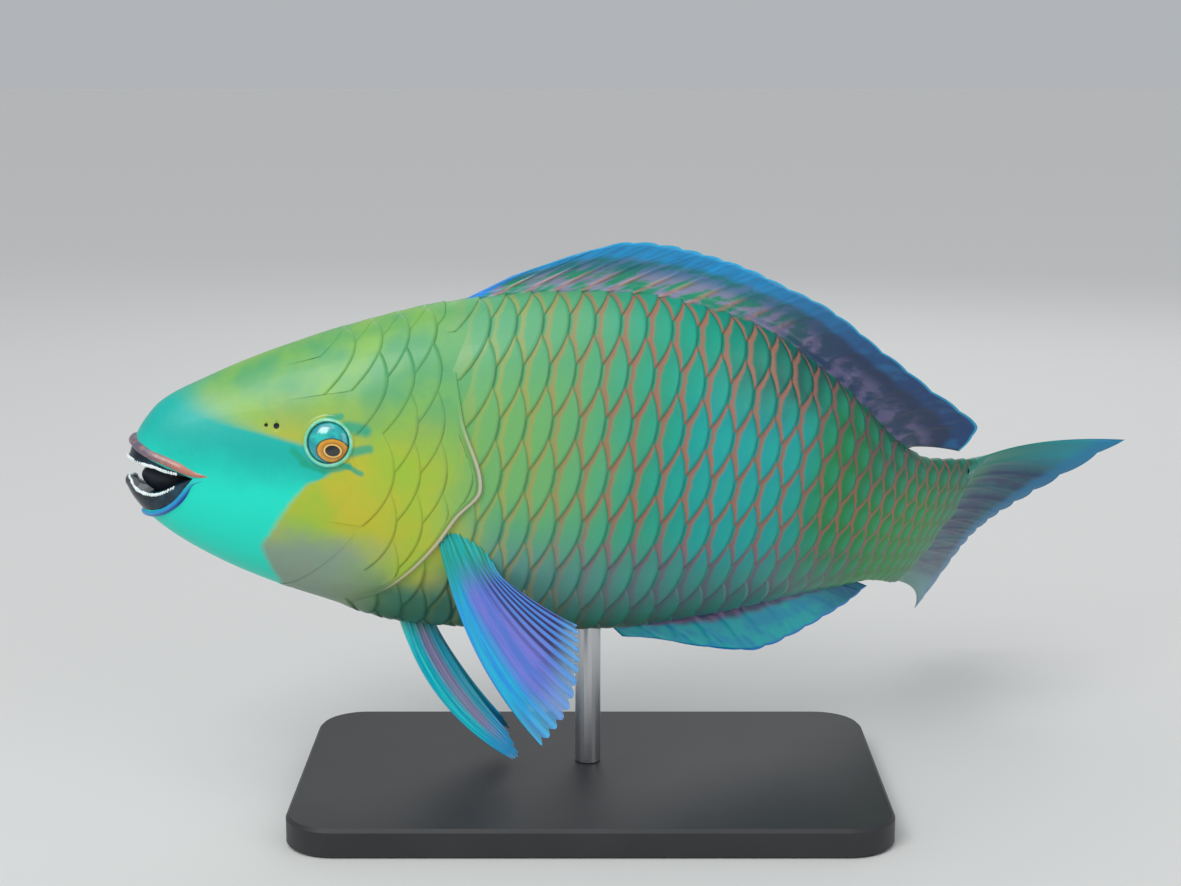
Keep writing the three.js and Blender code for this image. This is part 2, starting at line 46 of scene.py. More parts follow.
def curve(points):
    """A smooth line through (x, y) points that doesn't swing past them, kept as a fine table."""
    slopes = [(b[1] - a[1]) / (b[0] - a[0]) for a, b in zip(points, points[1:])]
    tangents = [slopes[0]]
    for before, after in zip(slopes, slopes[1:]):
        tangents.append(0 if before * after <= 0 else 2 * before * after / (before + after))
    tangents.append(slopes[-1])
    first, last = points[0][0], points[-1][0]
    table, i = [], 0
    for step in range(CURVE_STEPS + 1):
        x = first + (last - first) * step / CURVE_STEPS
        while i < len(points) - 2 and x > points[i + 1][0]:
            i += 1
        span = points[i + 1][0] - points[i][0]
        t = (x - points[i][0]) / span
        rise = points[i + 1][1] - points[i][1]
        start, end = tangents[i] * span, tangents[i + 1] * span
        table.append(points[i][1] + start * t + (3 * rise - 2 * start - end) * t ** 2
                     + (start + end - 2 * rise) * t ** 3)
    table.append(table[-1])

    def at(x):
        place = (min(max(x, first), last) - first) / (last - first) * CURVE_STEPS
        i = int(place)
        return table[i] + (table[i + 1] - table[i]) * (place - i)
    return at


BODY_LENGTH = 285
LINE_SPARE = 12
SNOUT = Vector((-139.2, -12, 104))
PITCH = 7.5
YAW = curve([(0, 5), (80, 6), (130, 10), (180, 20), (230, 38), (285, 54)])
TWIST = curve([(0, 0), (130, 0), (180, 5), (230, 14), (285, 26)])
BACK = curve([
    (0, 6.5), (1.2, 12), (3, 17), (8, 24.6), (20, 33), (40, 44.4), (60, 53.5), (90, 64.6),
    (120, 71.2), (150, 73.6), (180, 69.3), (210, 54.4), (225, 44.5), (240, 35), (262, 27), (285, 26.6)])
BELLY = curve([
    (0, 1.5), (3, 5.6), (8, 10.2), (20, 17.3), (40, 25), (60, 30), (90, 35.2), (120, 34.2),
    (150, 32), (180, 26.8), (225, 20), (250, 19.6), (262, 21.5), (285, 28)])
HALF_WIDTH = curve([
    (0, 3), (3, 7), (8, 10), (20, 14), (40, 18.5), (60, 21.5), (80, 23.5), (105, 24.5),
    (135, 24), (165, 22), (195, 18), (225, 12.5), (250, 8.6), (270, 6.4), (285, 4.6)])
WIDEST = 0.46
BACK_ROUNDNESS = 2.0
BELLY_ROUNDNESS = 2.25


def directions(yaw, pitch, twist):
    turn, roll = math.radians(yaw), math.radians(twist)
    tip = Quaternion((0, 1, 0), math.radians(pitch))
    upright = Vector((0, 0, 1))
    flank = Vector((math.sin(turn), -math.cos(turn), 0))
    up = upright * math.cos(roll) + flank * math.sin(roll)
    left = flank * math.cos(roll) - upright * math.sin(roll)
    return tip @ Vector((math.cos(turn), math.sin(turn), 0)), tip @ up, tip @ left


spine_points = [SNOUT.copy()]
spine_frames = []
for step in range(BODY_LENGTH + LINE_SPARE):
    spine_frames.append(directions(YAW(step), PITCH, TWIST(step)))
    middle = directions(YAW(step + 0.5), PITCH, TWIST(step + 0.5))
    spine_points.append(spine_points[-1] + middle[0])


def spine(s):
    """The line's point and the directions back, up and left at a distance back."""
    i = min(max(int(s), 0), len(spine_frames) - 2)
    share = s - i
    at = spine_points[i].lerp(spine_points[i + 1], share)
    before, after = spine_frames[i], spine_frames[i + 1]
    back, up, left = (before[k].lerp(after[k], share) for k in range(3))
    return at, back, up, left


def body_point(s, height, left):
    at, _, up, side = spine(s)
    return (at + up * height + side * left) * MM


def widest_height(s):
    return WIDEST * BACK(s) - (1 - WIDEST) * BELLY(s)


def quarter(s, middle, above):
    """How far the skin reaches over or under its widest height, and how round it is there."""
    return (BACK(s) - middle, BACK_ROUNDNESS) if above else (middle + BELLY(s), BELLY_ROUNDNESS)


def half_width_at(s, height):
    middle = widest_height(s)
    reach, power = quarter(s, middle, height > middle)
    share = min(abs(height - middle) / reach, 1)
    return HALF_WIDTH(s) * (1 - share ** power) ** (1 / power)


def section(s, turn):
    """Height and distance to the left of the skin, at turn 0 on the back, 0.5 on the belly, 1 on the
    back again, going round by the left flank."""
    upward, aside = math.cos(turn * 2 * math.pi), math.sin(turn * 2 * math.pi)
    middle = widest_height(s)
    reach, power = quarter(s, middle, upward > 0)
    height = middle + math.copysign(reach * abs(upward) ** (2 / power), upward)
    return height, math.copysign(abs(aside) ** (2 / power), aside) * HALF_WIDTH(s)


def skin_point(s, turn, lift=0):
    """A point of the skin, lifted outwards by some millimetres."""
    def near(step_s, step_turn):
        return body_point(s + step_s, *section(s + step_s, turn + step_turn))
    if not lift:
        return near(0, 0)
    step_s, step_turn = 0.5, 0.004
    along = near(step_s, 0) - near(-step_s, 0)
    around = near(0, step_turn) - near(0, -step_turn)
    return near(0, 0) + around.cross(along).normalized() * lift * MM


def turn_at(s, height):
    """The turn round the left flank at which the skin has a height."""
    middle = widest_height(s)
    above = height > middle
    reach, power = quarter(s, middle, above)
    share = min(abs(height - middle) / reach, 1) ** (power / 2)
    angle = math.acos(share) if above else math.pi - math.acos(share)
    return angle / (2 * math.pi)


# Markings. The fish is cast in resin and painted in thin soft-edged coats. Its colours are laid out
# in its side view, by distance back from the beak and height over the body's line in millimetres,
# and fall alike on the skin, gill covers and scales.
COAT_ROUGHNESS = 0.12


class Socket:
    """A shader socket, so that maths on it can be written as an expression."""
    def __init__(self, paint, link):
        self.paint, self.link = paint, link

    def op(self, operation, other=0.0, swap=False):
        first, second = (other, self) if swap else (self, other)
        return self.paint.node("ShaderNodeMath", {"operation": operation}, {0: first, 1: second})

    def __add__(self, other):
        return self.op("ADD", other)

    def __sub__(self, other):
        return self.op("SUBTRACT", other)

    def __mul__(self, other):
        return self.op("MULTIPLY", other)

    def __truediv__(self, other):
        return self.op("DIVIDE", other)

    def __rsub__(self, other):
        return self.op("SUBTRACT", other, swap=True)

    def __rtruediv__(self, other):
        return self.op("DIVIDE", other, swap=True)

    __radd__ = __add__
    __rmul__ = __mul__

    def step(self, low, high):
        """0 below low, 1 above high, smooth between."""
        return self.paint.node("ShaderNodeMapRange", {"interpolation_type": "SMOOTHSTEP"},
                               {0: self, 1: low, 2: high, 3: 0.0, 4: 1.0})


class Paint:
    """One material and its nodes."""
    def __init__(self, name, roughness=0.45, coat=0.0, specular=0.5):
        self.material = bpy.data.materials.new(name)
        self.material.use_nodes = True
        self.tree = self.material.node_tree
        self.shader = self.tree.nodes["Principled BSDF"]
        self.set("Roughness", roughness)
        self.set("Coat Weight", coat)
        self.set("Coat Roughness", COAT_ROUGHNESS)
        self.set("Specular IOR Level", specular)

    def feed(self, socket, value):
        """Links a value that varies, or sets one that doesn't."""
        if isinstance(value, Socket):
            self.tree.links.new(value.link, socket)
        else:
            socket.default_value = value

    def set(self, name, value):
        self.feed(self.shader.inputs[name], value)

    def node(self, kind, settings=None, inputs=None, output=0):
        made = self.tree.nodes.new(kind)
        for name, value in (settings or {}).items():
            setattr(made, name, value)
        for key, value in (inputs or {}).items():
            self.feed(made.inputs[key], value)
        return Socket(self, made.outputs[output])

    def uv(self, name):
        """The two numbers of a piece's own UV map."""
        both = self.node("ShaderNodeUVMap", {"uv_map": name})
        across = self.node("ShaderNodeSeparateXYZ", None, {0: both})
        return across, Socket(self, across.link.node.outputs[1])

    def place(self):
        return self.node("ShaderNodeTexCoord", output="Object")

    def noise(self, scale, detail=3.0, vector=None):
        return self.node("ShaderNodeTexNoise", None, {
            "Vector": vector or self.place(), "Scale": scale, "Detail": detail, "Roughness": 0.5})

    def mix(self, factor, first, second):
        """The first colour where factor is 0 and the second where it is 1."""
        return self.node("ShaderNodeMix", {"data_type": "RGBA", "clamp_factor": True},
                         {0: factor, 6: first, 7: second}, output=2)

    def bent(self, value, points):
        """A curve through (x, y) points, both 0 to 1, as a function of value."""
        made = self.node("ShaderNodeFloatCurve", None, {1: value})
        mapping = made.link.node.mapping
        line = mapping.curves[0]
        while len(line.points) < len(points):
            line.points.new(0.5, 0.5)
        for point, place in zip(line.points, points):
            point.location = place
        mapping.update()
        return made

    def bump(self, height, strength=0.3, distance=0.0003):
        self.set("Normal", self.node("ShaderNodeBump", None, {
            "Strength": strength, "Distance": distance, "Height": height}))


def rgb(red, green, blue):
    """A colour as the eye reads it, 0 to 255, as the linear light that shaders take."""
    def linear(level):
        share = level / 255
        return share / 12.92 if share <= 0.04045 else ((share + 0.055) / 1.055) ** 2.4
    return linear(red), linear(green), linear(blue), 1


SNOUT_TURQUOISE = rgb(0, 176, 164)
CHIN_TURQUOISE = rgb(0, 222, 196)
CROWN_GREEN = rgb(84, 164, 104)
CROWN_YELLOW = rgb(128, 182, 80)
CHEEK_YELLOW = rgb(154, 190, 54)
CHEEK_GOLD = rgb(190, 184, 44)
CHEEK_LILAC = rgb(124, 150, 150)
FLANK_GREEN = rgb(88, 168, 116)
FLANK_TURQUOISE = rgb(0, 160, 158)
FLANK_TEAL = rgb(0, 150, 124)
LOW_LILAC = rgb(88, 142, 140)
BELLY_GREEN = rgb(70, 128, 104)
TAIL_GREEN = rgb(0, 130, 58)
# Dark green of the upper rear body and tail, partly the fish's own colour and partly painted shade where the
# light falls off towards the tail.
TAIL_DARK_AND_SHADE = rgb(0, 84, 74)
STALK_GREEN = rgb(20, 140, 40)
EYE_BAR_TEAL = rgb(0, 160, 126)
# Each patch is a colour and its strength, then four soft edges, as places where they start and end:
# where it comes in and goes out going back, and where it comes in and goes out going up.
HEAD_PATCHES = [
    (CHEEK_LILAC, 0.8, None, (62, 88), None, (-14, -2)),
    (BELLY_GREEN, 1, (62, 84), None, None, (-24, -10))]
FLANK_PATCHES = [
    (FLANK_TEAL, 1, (120, 165), None, None, None),
    (CROWN_YELLOW, 0.45, None, (112, 150), (0, 16), (34, 60)),
    (FLANK_TURQUOISE, 1, (148, 172), (196, 214), None, (38, 62)),
    (TAIL_GREEN, 1, (188, 216), None, None, None),
    (STALK_GREEN, 1, (214, 246), None, None, (2, 22)),
    # These three patches are partly dark green and partly painted shade, deepening towards the tail.
    (TAIL_DARK_AND_SHADE, 1, (158, 200), None, (34, 58), None),
    (TAIL_DARK_AND_SHADE, 0.8, (205, 240), None, (10, 34), None),
    (TAIL_DARK_AND_SHADE, 0.55, (258, 286), None, None, None),
    (LOW_LILAC, 0.85, None, (200, 240), None, (-14, 6)),
    (BELLY_GREEN, 1, None, (200, 245), None, (-34, -16))]
THROAT_PATCHES = [(BELLY_GREEN, 0.8, None, (95, 130), None, (-36, -24))]
EYE_BARS = [
    ((63.7, 26.8), (68.9, 26.4), 1.9), ((64.8, 19.4), (70.4, 21.3), 1.5), ((62.1, 16.1), (69, 13.8), 0.9),
    ((58, 28.5), (61.5, 29.6), 1.0), ((48.7, 18), (52.5, 14.6), 1.1), ((52.5, 14.6), (58, 13.2), 1.1),
    ((58, 13.2), (65, 15.4), 1.1)]
BAR_CORE, BAR_SOFT_EDGE = 0.35, 1.4
MASK_EDGE = [
    (-60, 56), (-22.2, 47.6), (-15.9, 43.4), (-13.2, 42.6), (-11.1, 43), (-8.2, 44.6), (-1.8, 47.2),
    (4.3, 50.7), (8.4, 53.8), (13, 60), (17, 59), (20.8, 45), (22.5, 33), (26.1, 24), (34, 14), (60, 8)]
MAP_SIZE = 100
WOBBLE_ALONG, WOBBLE_UP, FINE_WOBBLE = 16, 14, 3
HEAD_EDGE_LEAN = 0.12
MASK_BLUR_LOW, MASK_BLUR_MORE = 1.5, 14
BAR_STRENGTH = 0.82


def patched(paint, ground, patches, s, height):
    """The ground colour with patches laid on it."""
    for colour, strength, back_in, back_out, up_in, up_out in patches:
        share = strength
        for place, edge in ((s, back_in), (height, up_in)):
            share = place.step(*edge) * share if edge else share
        for place, edge in ((s, back_out), (height, up_out)):
            share = (1 - place.step(*edge)) * share if edge else share
        ground = paint.mix(share, ground, colour)
    return ground


def bar(s, height, start, end, width):
    """1 inside a rounded bar between two places of the side view."""
    along, rise = end[0] - start[0], end[1] - start[1]
    share = ((s - start[0]) * along + (height - start[1]) * rise) / (along ** 2 + rise ** 2)
    share = share.op("MAXIMUM", 0.0).op("MINIMUM", 1.0)
    aside = s - start[0] - share * along
    above = height - start[1] - share * rise
    distance = (aside * aside + above * above).op("SQRT")
    return 1 - distance.step(width * BAR_CORE, width * BAR_SOFT_EDGE)


def markings(paint):
    """The fish's colours, with the distance back and the height that they follow."""
    across, upward = paint.uv("Flank")
    wobble = paint.noise(55.0, 4.0) - 0.5
    fine = paint.noise(210.0) - 0.5
    true_s, true_h = across * MAP_SIZE, upward * MAP_SIZE - MAP_SIZE
    s, height = true_s + wobble * WOBBLE_ALONG, true_h + wobble * WOBBLE_UP + fine * FINE_WOBBLE
    crown = paint.mix(paint.noise(70.0).step(0.30, 0.72), CROWN_GREEN, CROWN_YELLOW)
    cheek = paint.mix(paint.noise(60.0, 4.0).step(0.30, 0.74), CHEEK_YELLOW, CHEEK_GOLD)
    head = patched(paint, paint.mix(height.step(16, 38), cheek, crown), HEAD_PATCHES, s, height)
    flank = patched(paint, FLANK_GREEN, FLANK_PATCHES, s, height)
    body = paint.mix((s + height * HEAD_EDGE_LEAN).step(86, 110), head, flank)
    body = patched(paint, body, THROAT_PATCHES, s, height)
    face = paint.mix(height.step(0, 18), CHIN_TURQUOISE, SNOUT_TURQUOISE)
    low, high = MASK_EDGE[0][0], MASK_EDGE[-1][0]
    edge = paint.bent((true_h - low) / (high - low), [
        ((at_height - low) / (high - low), back / MAP_SIZE) for at_height, back in MASK_EDGE]) * MAP_SIZE
    blur = MASK_BLUR_LOW + true_h.step(15, 26) * MASK_BLUR_MORE
    mask = 1 - ((true_s + fine * FINE_WOBBLE - edge) / blur).step(-1.0, 1.0)
    body = paint.mix(mask, body, face)
    for start, end, width in EYE_BARS:
        inside = bar(true_s + fine, true_h + fine, start, end, width)
        body = paint.mix(inside * BAR_STRENGTH, body, EYE_BAR_TEAL)
    return body, true_s, true_h


# Skin. One closed skin of painted resin covers head, trunk, tail and stalk, with an open mouth and a
# socket for each eye carved out of it. It stands for all the nodes of flesh.
SKIN_ALONG = 230
SKIN_AROUND = 144
SKIN_CROWDING = 0.35
SKIN_SEAM = 0.01
SCALE_DEPTH = 0.3
DEPTH_REACHED = 60
MOUTH_CORNER = (20.5, 5)
UPPER_EDGE = [(-3, 6.8), (1.5, 6.8), (5.5, 6.3), (8.7, 6.2), (11.8, 5.6), (16.9, 5.3)]
LOWER_EDGE = [(-3, 0.5), (1.5, 0.5), (3.7, -2), (6.3, -2.8), (9.4, -2.6), (12.3, -1.2), (16.4, 2.4)]
UPPER_LIP = [(-3, 11), (0.9, 10.5), (5, 9.1), (8.2, 8), (12.8, 6.7), (16.3, 6.1)]
LOWER_LIP = [(-3, -9), (5.5, -8.4), (9.1, -7.6), (12.5, -5.9), (16.1, -2.4), (18.1, 1.2)]
MOUTH_CENTRE = (12.2, 2)
MOUTH_RADII = (9.6, 8, 5.6)
MOUTH_SIDES = (40, 24)
CUT_REACH = 70.0
EYE_PLACE = (58.6, 21.5)
EYE_RADIUS = 6.3
SOCKET_FLOOR_RADIUS = EYE_RADIUS - 0.6
SOCKET_RIM_RADIUS = EYE_RADIUS + 0.2
SOCKET_DEPTH = 10
NOSTRILS = [(43.1, 24.2, 0.9), (40.1, 24.0, 0.6)]


def new_piece(name, bm, *materials, smooth=True):
    mesh = bpy.data.meshes.new(name)
    bm.to_mesh(mesh)
    bm.free()
    for material in materials:
        mesh.materials.append(material)
    piece = bpy.data.objects.new(name, mesh)
    bpy.context.collection.objects.link(piece)
    for face in mesh.polygons:
        face.use_smooth = smooth
    return piece


def shaped_grid(bm, columns, rows, place, maps):
    """Adds a grid whose (u, v), both 0 to 1, is moved to place(u, v), with a UV map for each name in
    maps, given as functions of u and v."""
    made = bmesh.ops.create_grid(bm, x_segments=columns, y_segments=rows, size=0.5)
    at = {vert: (vert.co.x + 0.5, vert.co.y + 0.5) for vert in made["verts"]}
    faces = {face for vert in made["verts"] for face in vert.link_faces}
    for name, place_uv in maps.items():
        layer = bm.loops.layers.uv[name]
        mapped = {vert: place_uv(u, v) for vert, (u, v) in at.items()}
        for face in faces:
            for loop in face.loops:
                loop[layer].uv = mapped[loop.vert]
    for vert, (u, v) in at.items():
        vert.co = place(u, v)


def new_grids(*names):
    """An empty mesh for shaped grids, with UV maps of these names."""
    bm = bmesh.new()
    for name in names:
        bm.loops.layers.uv.new(name)
    return bm


def seal(bm, gap, capped=False):
    """Merges points nearer than a gap, closes open ends if asked, and turns the faces outwards."""
    bmesh.ops.remove_doubles(bm, verts=bm.verts, dist=gap * MM)
    if capped:
        bmesh.ops.holes_fill(bm, edges=[edge for edge in bm.edges if edge.is_boundary], sides=0)
    bmesh.ops.recalc_face_normals(bm, faces=bm.faces)


def stretched(u):
    """A distance back, with stations closer near the beak, where the form is finest."""
    return BODY_LENGTH * (SKIN_CROWDING * u * u + (1 - SKIN_CROWDING) * u) if u > 0 else 0


def side_map(s, height):
    """A place of the side view on its map, which has its zero a whole map below the body's line."""
    return s / MAP_SIZE, height / MAP_SIZE + 1


def flank_map(s, turn):
    return side_map(s, section(s, turn)[0])


def grain(paint, fine, coarse, share):
    """Two sizes of noise laid over each other."""
    return paint.noise(fine) * share + paint.noise(coarse) * (1 - share)


def head_vector(s, height, left):
    _, back, up, side = spine(0)
    return (back * s + up * height + side * left) * MM


def prism(outline):
    """A closed block across the head with the outline of a side view."""
    bm = bmesh.new()
    ring = [bm.verts.new(body_point(0, 0, 0) + head_vector(s, height, -CUT_REACH)) for s, height in outline]
    made = bmesh.ops.extrude_face_region(bm, geom=[bm.faces.new(ring)])
    moved = [item for item in made["geom"] if isinstance(item, bmesh.types.BMVert)]
    bmesh.ops.translate(bm, verts=moved, vec=head_vector(0, 0, 2 * CUT_REACH))
    return bm


def head_oval(centre, radii, sides, flat=0.0):
    """An oval solid inside the head, whose roof and floor may be flattened by a share."""
    bm = bmesh.new()
    for vert in bmesh.ops.create_uvsphere(bm, u_segments=sides[0], v_segments=sides[1], radius=1)["verts"]:
        x, y, z = vert.co
        z *= 1 - flat + flat * abs(z)
        vert.co = body_point(0, 0, 0) + head_vector(
            centre[0] + x * radii[0], centre[1] + z * radii[2], y * radii[1])
    return bm


def mouth_hollow():
    return head_oval(MOUTH_CENTRE, MOUTH_RADII, MOUTH_SIDES)


def cut(piece, bm, name, paint, operation="DIFFERENCE"):
    """Takes a closed shape out of a piece, or keeps what lies in it. New walls take the paint."""
    bmesh.ops.recalc_face_normals(bm, faces=bm.faces)
    cutter = new_piece(name, bm, paint.material)
    knife = piece.modifiers.new(name, "BOOLEAN")
    knife.object = cutter
    knife.operation = operation
    knife.solver = "EXACT"
    knife.material_mode = "TRANSFER"
    with_cut = bpy.data.meshes.new_from_object(piece.evaluated_get(bpy.context.evaluated_depsgraph_get()))
    piece.modifiers.remove(knife)
    piece.data = with_cut
    bpy.data.objects.remove(cutter)


def flank_frame(s, height, face):
    """A matrix at a point of the skin whose Z points out of it and whose Y points up the flank. Face
    is 1 on the left flank and -1 on the right."""
    def at(ds, dh):
        return body_point(s + ds, height + dh, face * half_width_at(s + ds, height + dh))
    along = (at(1, 0) - at(-1, 0)).normalized()
    upward = (at(0, 1) - at(0, -1)).normalized()
    outward = along.cross(upward).normalized() * face
    upward = (upward - outward * outward.dot(upward)).normalized()
    turned = Matrix((upward.cross(outward), upward, outward)).transposed().to_4x4()
    return Matrix.Translation(at(0, 0)) @ turned


skin_paint = Paint("skin", roughness=0.42, coat=0.12, specular=0.4)
skin_paint.set("Base Color", markings(skin_paint)[0])
skin_paint.bump(grain(skin_paint, 900.0, 220.0, 0.6), 0.25)
mouth_paint = Paint("mouth_lining", roughness=0.6)
mouth_paint.set("Base Color", mouth_paint.mix(mouth_paint.noise(300.0), rgb(18, 16, 30), rgb(30, 40, 52)))
bm = new_grids("Flank")
shaped_grid(bm, SKIN_ALONG, SKIN_AROUND,
            lambda u, v: skin_point(stretched(u), v, -SCALE_DEPTH * min(stretched(u) / DEPTH_REACHED, 1)),
            {"Flank": lambda u, v: flank_map(stretched(u), v)})
seal(bm, SKIN_SEAM, capped=True)
skin = new_piece("skin", bm, skin_paint.material, mouth_paint.material)
cut(skin, prism(UPPER_LIP + [MOUTH_CORNER] + LOWER_LIP[::-1]), "mouth_opening", mouth_paint)
cut(skin, mouth_hollow(), "mouth_hollow", mouth_paint)
for face in (1, -1):
    bm = bmesh.new()
    bmesh.ops.create_cone(bm, cap_ends=True, segments=64, radius1=SOCKET_FLOOR_RADIUS * MM,
                          radius2=SOCKET_RIM_RADIUS * MM, depth=SOCKET_DEPTH * MM)
    bmesh.ops.transform(bm, matrix=flank_frame(*EYE_PLACE, face), verts=bm.verts)
    cut(skin, bm, "eye_socket", mouth_paint)
    for s, height, radius in NOSTRILS:
        bm = bmesh.new()
        bmesh.ops.create_icosphere(bm, subdivisions=3, radius=radius * MM)
        bmesh.ops.transform(bm, matrix=flank_frame(s, height, face), verts=bm.verts)
        cut(skin, bm, "nostril", mouth_paint)
skin.data.shade_smooth()
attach(skin, "root")
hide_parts("head", "trunk", "tail", "tail_stalk")

# Lips. A soft fold of skin is rolled along each jaw over the foot of the beak, brownish pink above
# and rimmed with deep blue below. Each is an oval tube laid on the skin from one corner to the other.
LIP_STEPS = 90
LIP_SIDES = 20
LIP_HEART = (14, 2)
LIP_SEAM = 0.002
LIP_TAPER, LIP_ENDS, LIP_FULLNESS = 2.4, 0.14, 1.2
UPPER_LIP_LINE = [(29, 6.9), (24, 6.4), (20.5, 6.6), (16, 8), (12, 9.1), (8, 9.9), (4.5, 11), (2, 12.1)]
UPPER_LIP_FRONT, UPPER_LIP_INSET, UPPER_LIP_SIZE = (0.9, 12.6), 0.45, (1.7, 0.9)
LOWER_LIP_LINE = [(23.5, 5), (20.4, 3.4), (18.5, 0), (16, -3.7), (12.4, -7), (9, -8.9)]
LOWER_LIP_FRONT, LOWER_LIP_INSET, LOWER_LIP_SIZE = (6.3, -9.6), 0.1, (1.1, 0.8)


def smooth_path(points, share):
    """A point of the Catmull-Rom line through points, at a share of its length."""
    place = share * (len(points) - 1)
    i = min(int(place), len(points) - 2)
    t = place - i
    before, start, end, after = (points[min(max(k, 0), len(points) - 1)] for k in (i - 1, i, i + 1, i + 2))
    return 0.5 * (2 * start + (end - before) * t + (2 * before - 5 * start + 4 * end - after) * t ** 2
                  + (3 * start - before - 3 * end + after) * t ** 3)


def heading(line, share):
    """The direction of a path at a share of its length."""
    step = 0.01
    return (smooth_path(line, min(share + step, 1)) - smooth_path(line, max(share - step, 0))).normalized()


def jaw_line(side_points, front, inset):
    """The line that runs from one corner of the mouth round the front to the other, on the skin."""
    line = [body_point(s, height, half_width_at(s, height) - inset) for s, height in side_points]
    far = [body_point(s, height, inset - half_width_at(s, height)) for s, height in reversed(side_points)]
    return line + [body_point(*front, 0)] + far


def lip(name, line, size, paint):
    heart = body_point(*LIP_HEART, 0)
    wide, thick = size

    def place(u, v):
        around = v * 2 * math.pi
        at, along = smooth_path(line, u), heading(line, u)
        outward = at - heart
        outward = (outward - along * outward.dot(along)).normalized()
        across = along.cross(outward)
        full = min(1, (1 - abs(2 * u - 1)) * LIP_TAPER + LIP_ENDS) ** LIP_FULLNESS
        return at + (across * math.cos(around) * wide * full + outward * math.sin(around) * thick * full) * MM

    bm = new_grids("Lip")
    shaped_grid(bm, LIP_STEPS, LIP_SIDES, place, {"Lip": lambda u, v: (abs(2 * u - 1), abs(2 * v - 1))})
    seal(bm, LIP_SEAM, capped=True)
    piece = new_piece(name, bm, paint.material)
    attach(piece, "root")


upper_lip_paint = Paint("upper_lip", roughness=0.35, coat=0.3)
back_share, _ = upper_lip_paint.uv("Lip")
salmon = upper_lip_paint.mix(back_share.step(0.25, 0.7), rgb(96, 92, 112), rgb(178, 112, 96))
speckle = upper_lip_paint.noise(500.0, 4.0).step(0.45, 0.7)
upper_lip_paint.set("Base Color", upper_lip_paint.mix(speckle * 0.5, salmon, rgb(196, 138, 112)))
upper_lip_paint.bump(upper_lip_paint.noise(900.0), 0.2, 0.0002)
lower_lip_paint = Paint("lower_lip", roughness=0.35, coat=0.3)
back_share, round_share = lower_lip_paint.uv("Lip")
blue = lower_lip_paint.mix(round_share.step(0.42, 0.75), rgb(0, 52, 170), rgb(0, 150, 205))
lower_lip_paint.set("Base Color", lower_lip_paint.mix(back_share.step(0.6, 1.0), blue, rgb(0, 205, 200)))
lower_lip_paint.bump(lower_lip_paint.noise(900.0), 0.2, 0.0002)
upper_line = jaw_line(UPPER_LIP_LINE, UPPER_LIP_FRONT, UPPER_LIP_INSET)
lower_line = jaw_line(LOWER_LIP_LINE, LOWER_LIP_FRONT, LOWER_LIP_INSET)
lip("upper_lip", upper_line, UPPER_LIP_SIZE, upper_lip_paint)
lip("lower_lip", lower_line, LOWER_LIP_SIZE, lower_lip_paint)

# Beak. Fused teeth form a dark glossy plate in each jaw, cut from the snout's form and set a little
# under the lips, and a row of small white teeth stands along each cutting edge.
BEAK_LENGTH = 24
BEAK_INSET = 0.4
BEAK_ALONG, BEAK_AROUND = 90, 120
BEAK_SHARP = math.radians(40)
TOOTH_WIDE, TOOTH_DEEP, TOOTH_HIGH = 0.5, 0.42, 0.62
TOOTH_INSET = 0.25
TOOTH_SMALLEST, TOOTH_LARGEST = 0.85, 1.15
TOOTH_SEED = 7
ROW_REACH = 0.96
UPPER_TEETH = [(16, 5.6), (11.8, 5.8), (8.7, 6.4), (5.5, 6.5), (1.6, 7)]
UPPER_TEETH_FRONT, LOWER_TEETH_FRONT = (-0.2, 7), (0.9, 0.6)
LOWER_TEETH = [(15.6, 1.4), (12.3, -1), (9.4, -2.4), (6.3, -2.6), (3.7, -1.8), (2.2, 0)]
beak_paint = Paint("beak", roughness=0.3, coat=0.3, specular=0.35)
sheen = beak_paint.mix(beak_paint.noise(160.0, 4.0).step(0.4, 0.7), rgb(2, 16, 34), rgb(0, 66, 84))
flecks = beak_paint.noise(700.0).step(0.55, 0.8)
beak_paint.set("Base Color", beak_paint.mix(flecks * 0.4, sheen, rgb(20, 110, 124)))
beak_paint.bump(beak_paint.noise(600.0), 0.35)
enamel_paint = Paint("white_enamel", roughness=0.25, coat=0.5)
enamel_paint.set("Base Color", enamel_paint.mix(
    enamel_paint.noise(800.0), rgb(214, 236, 238), rgb(250, 252, 250)))


def beak_plate(name, outline, node):
    def place(u, v):
        s = BEAK_LENGTH * u * u
        height, left = section(s, v)
        return body_point(s, height, left * (1 - BEAK_INSET / HALF_WIDTH(s)))

    bm = bmesh.new()
    shaped_grid(bm, BEAK_ALONG, BEAK_AROUND, place, {})
    seal(bm, SKIN_SEAM, capped=True)
    plate = new_piece(name, bm, beak_paint.material)
    cut(plate, prism(outline), name + "_outline", beak_paint, "INTERSECT")
    cut(plate, mouth_hollow(), name + "_hollow", beak_paint)
    plate.data.shade_smooth()
    plate.data.set_sharp_from_angle(angle=BEAK_SHARP)
    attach(plate, "root")
    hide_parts(node)


def tooth_row(name, edge, front, count, rise):
    """Small white teeth side by side along a cutting edge."""
    line = jaw_line(edge, front, BEAK_INSET + TOOTH_INSET)
    up = spine(0)[2]
    rng = random.Random(TOOTH_SEED)
    bm = bmesh.new()
    for i in range(count):
        share = 0.5 + (i / (count - 1) - 0.5) * ROW_REACH
        at, along = smooth_path(line, share), heading(line, share)
        outward = along.cross(up).normalized()
        size = rng.uniform(TOOTH_SMALLEST, TOOTH_LARGEST)
        for vert in bmesh.ops.create_icosphere(bm, subdivisions=3, radius=1)["verts"]:
            x, y, z = vert.co
            vert.co = at + (along * x * TOOTH_WIDE * size + outward * y * TOOTH_DEEP
                            + up * (z * TOOTH_HIGH * size + rise)) * MM
    teeth = new_piece(name, bm, enamel_paint.material)
    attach(teeth, "root")


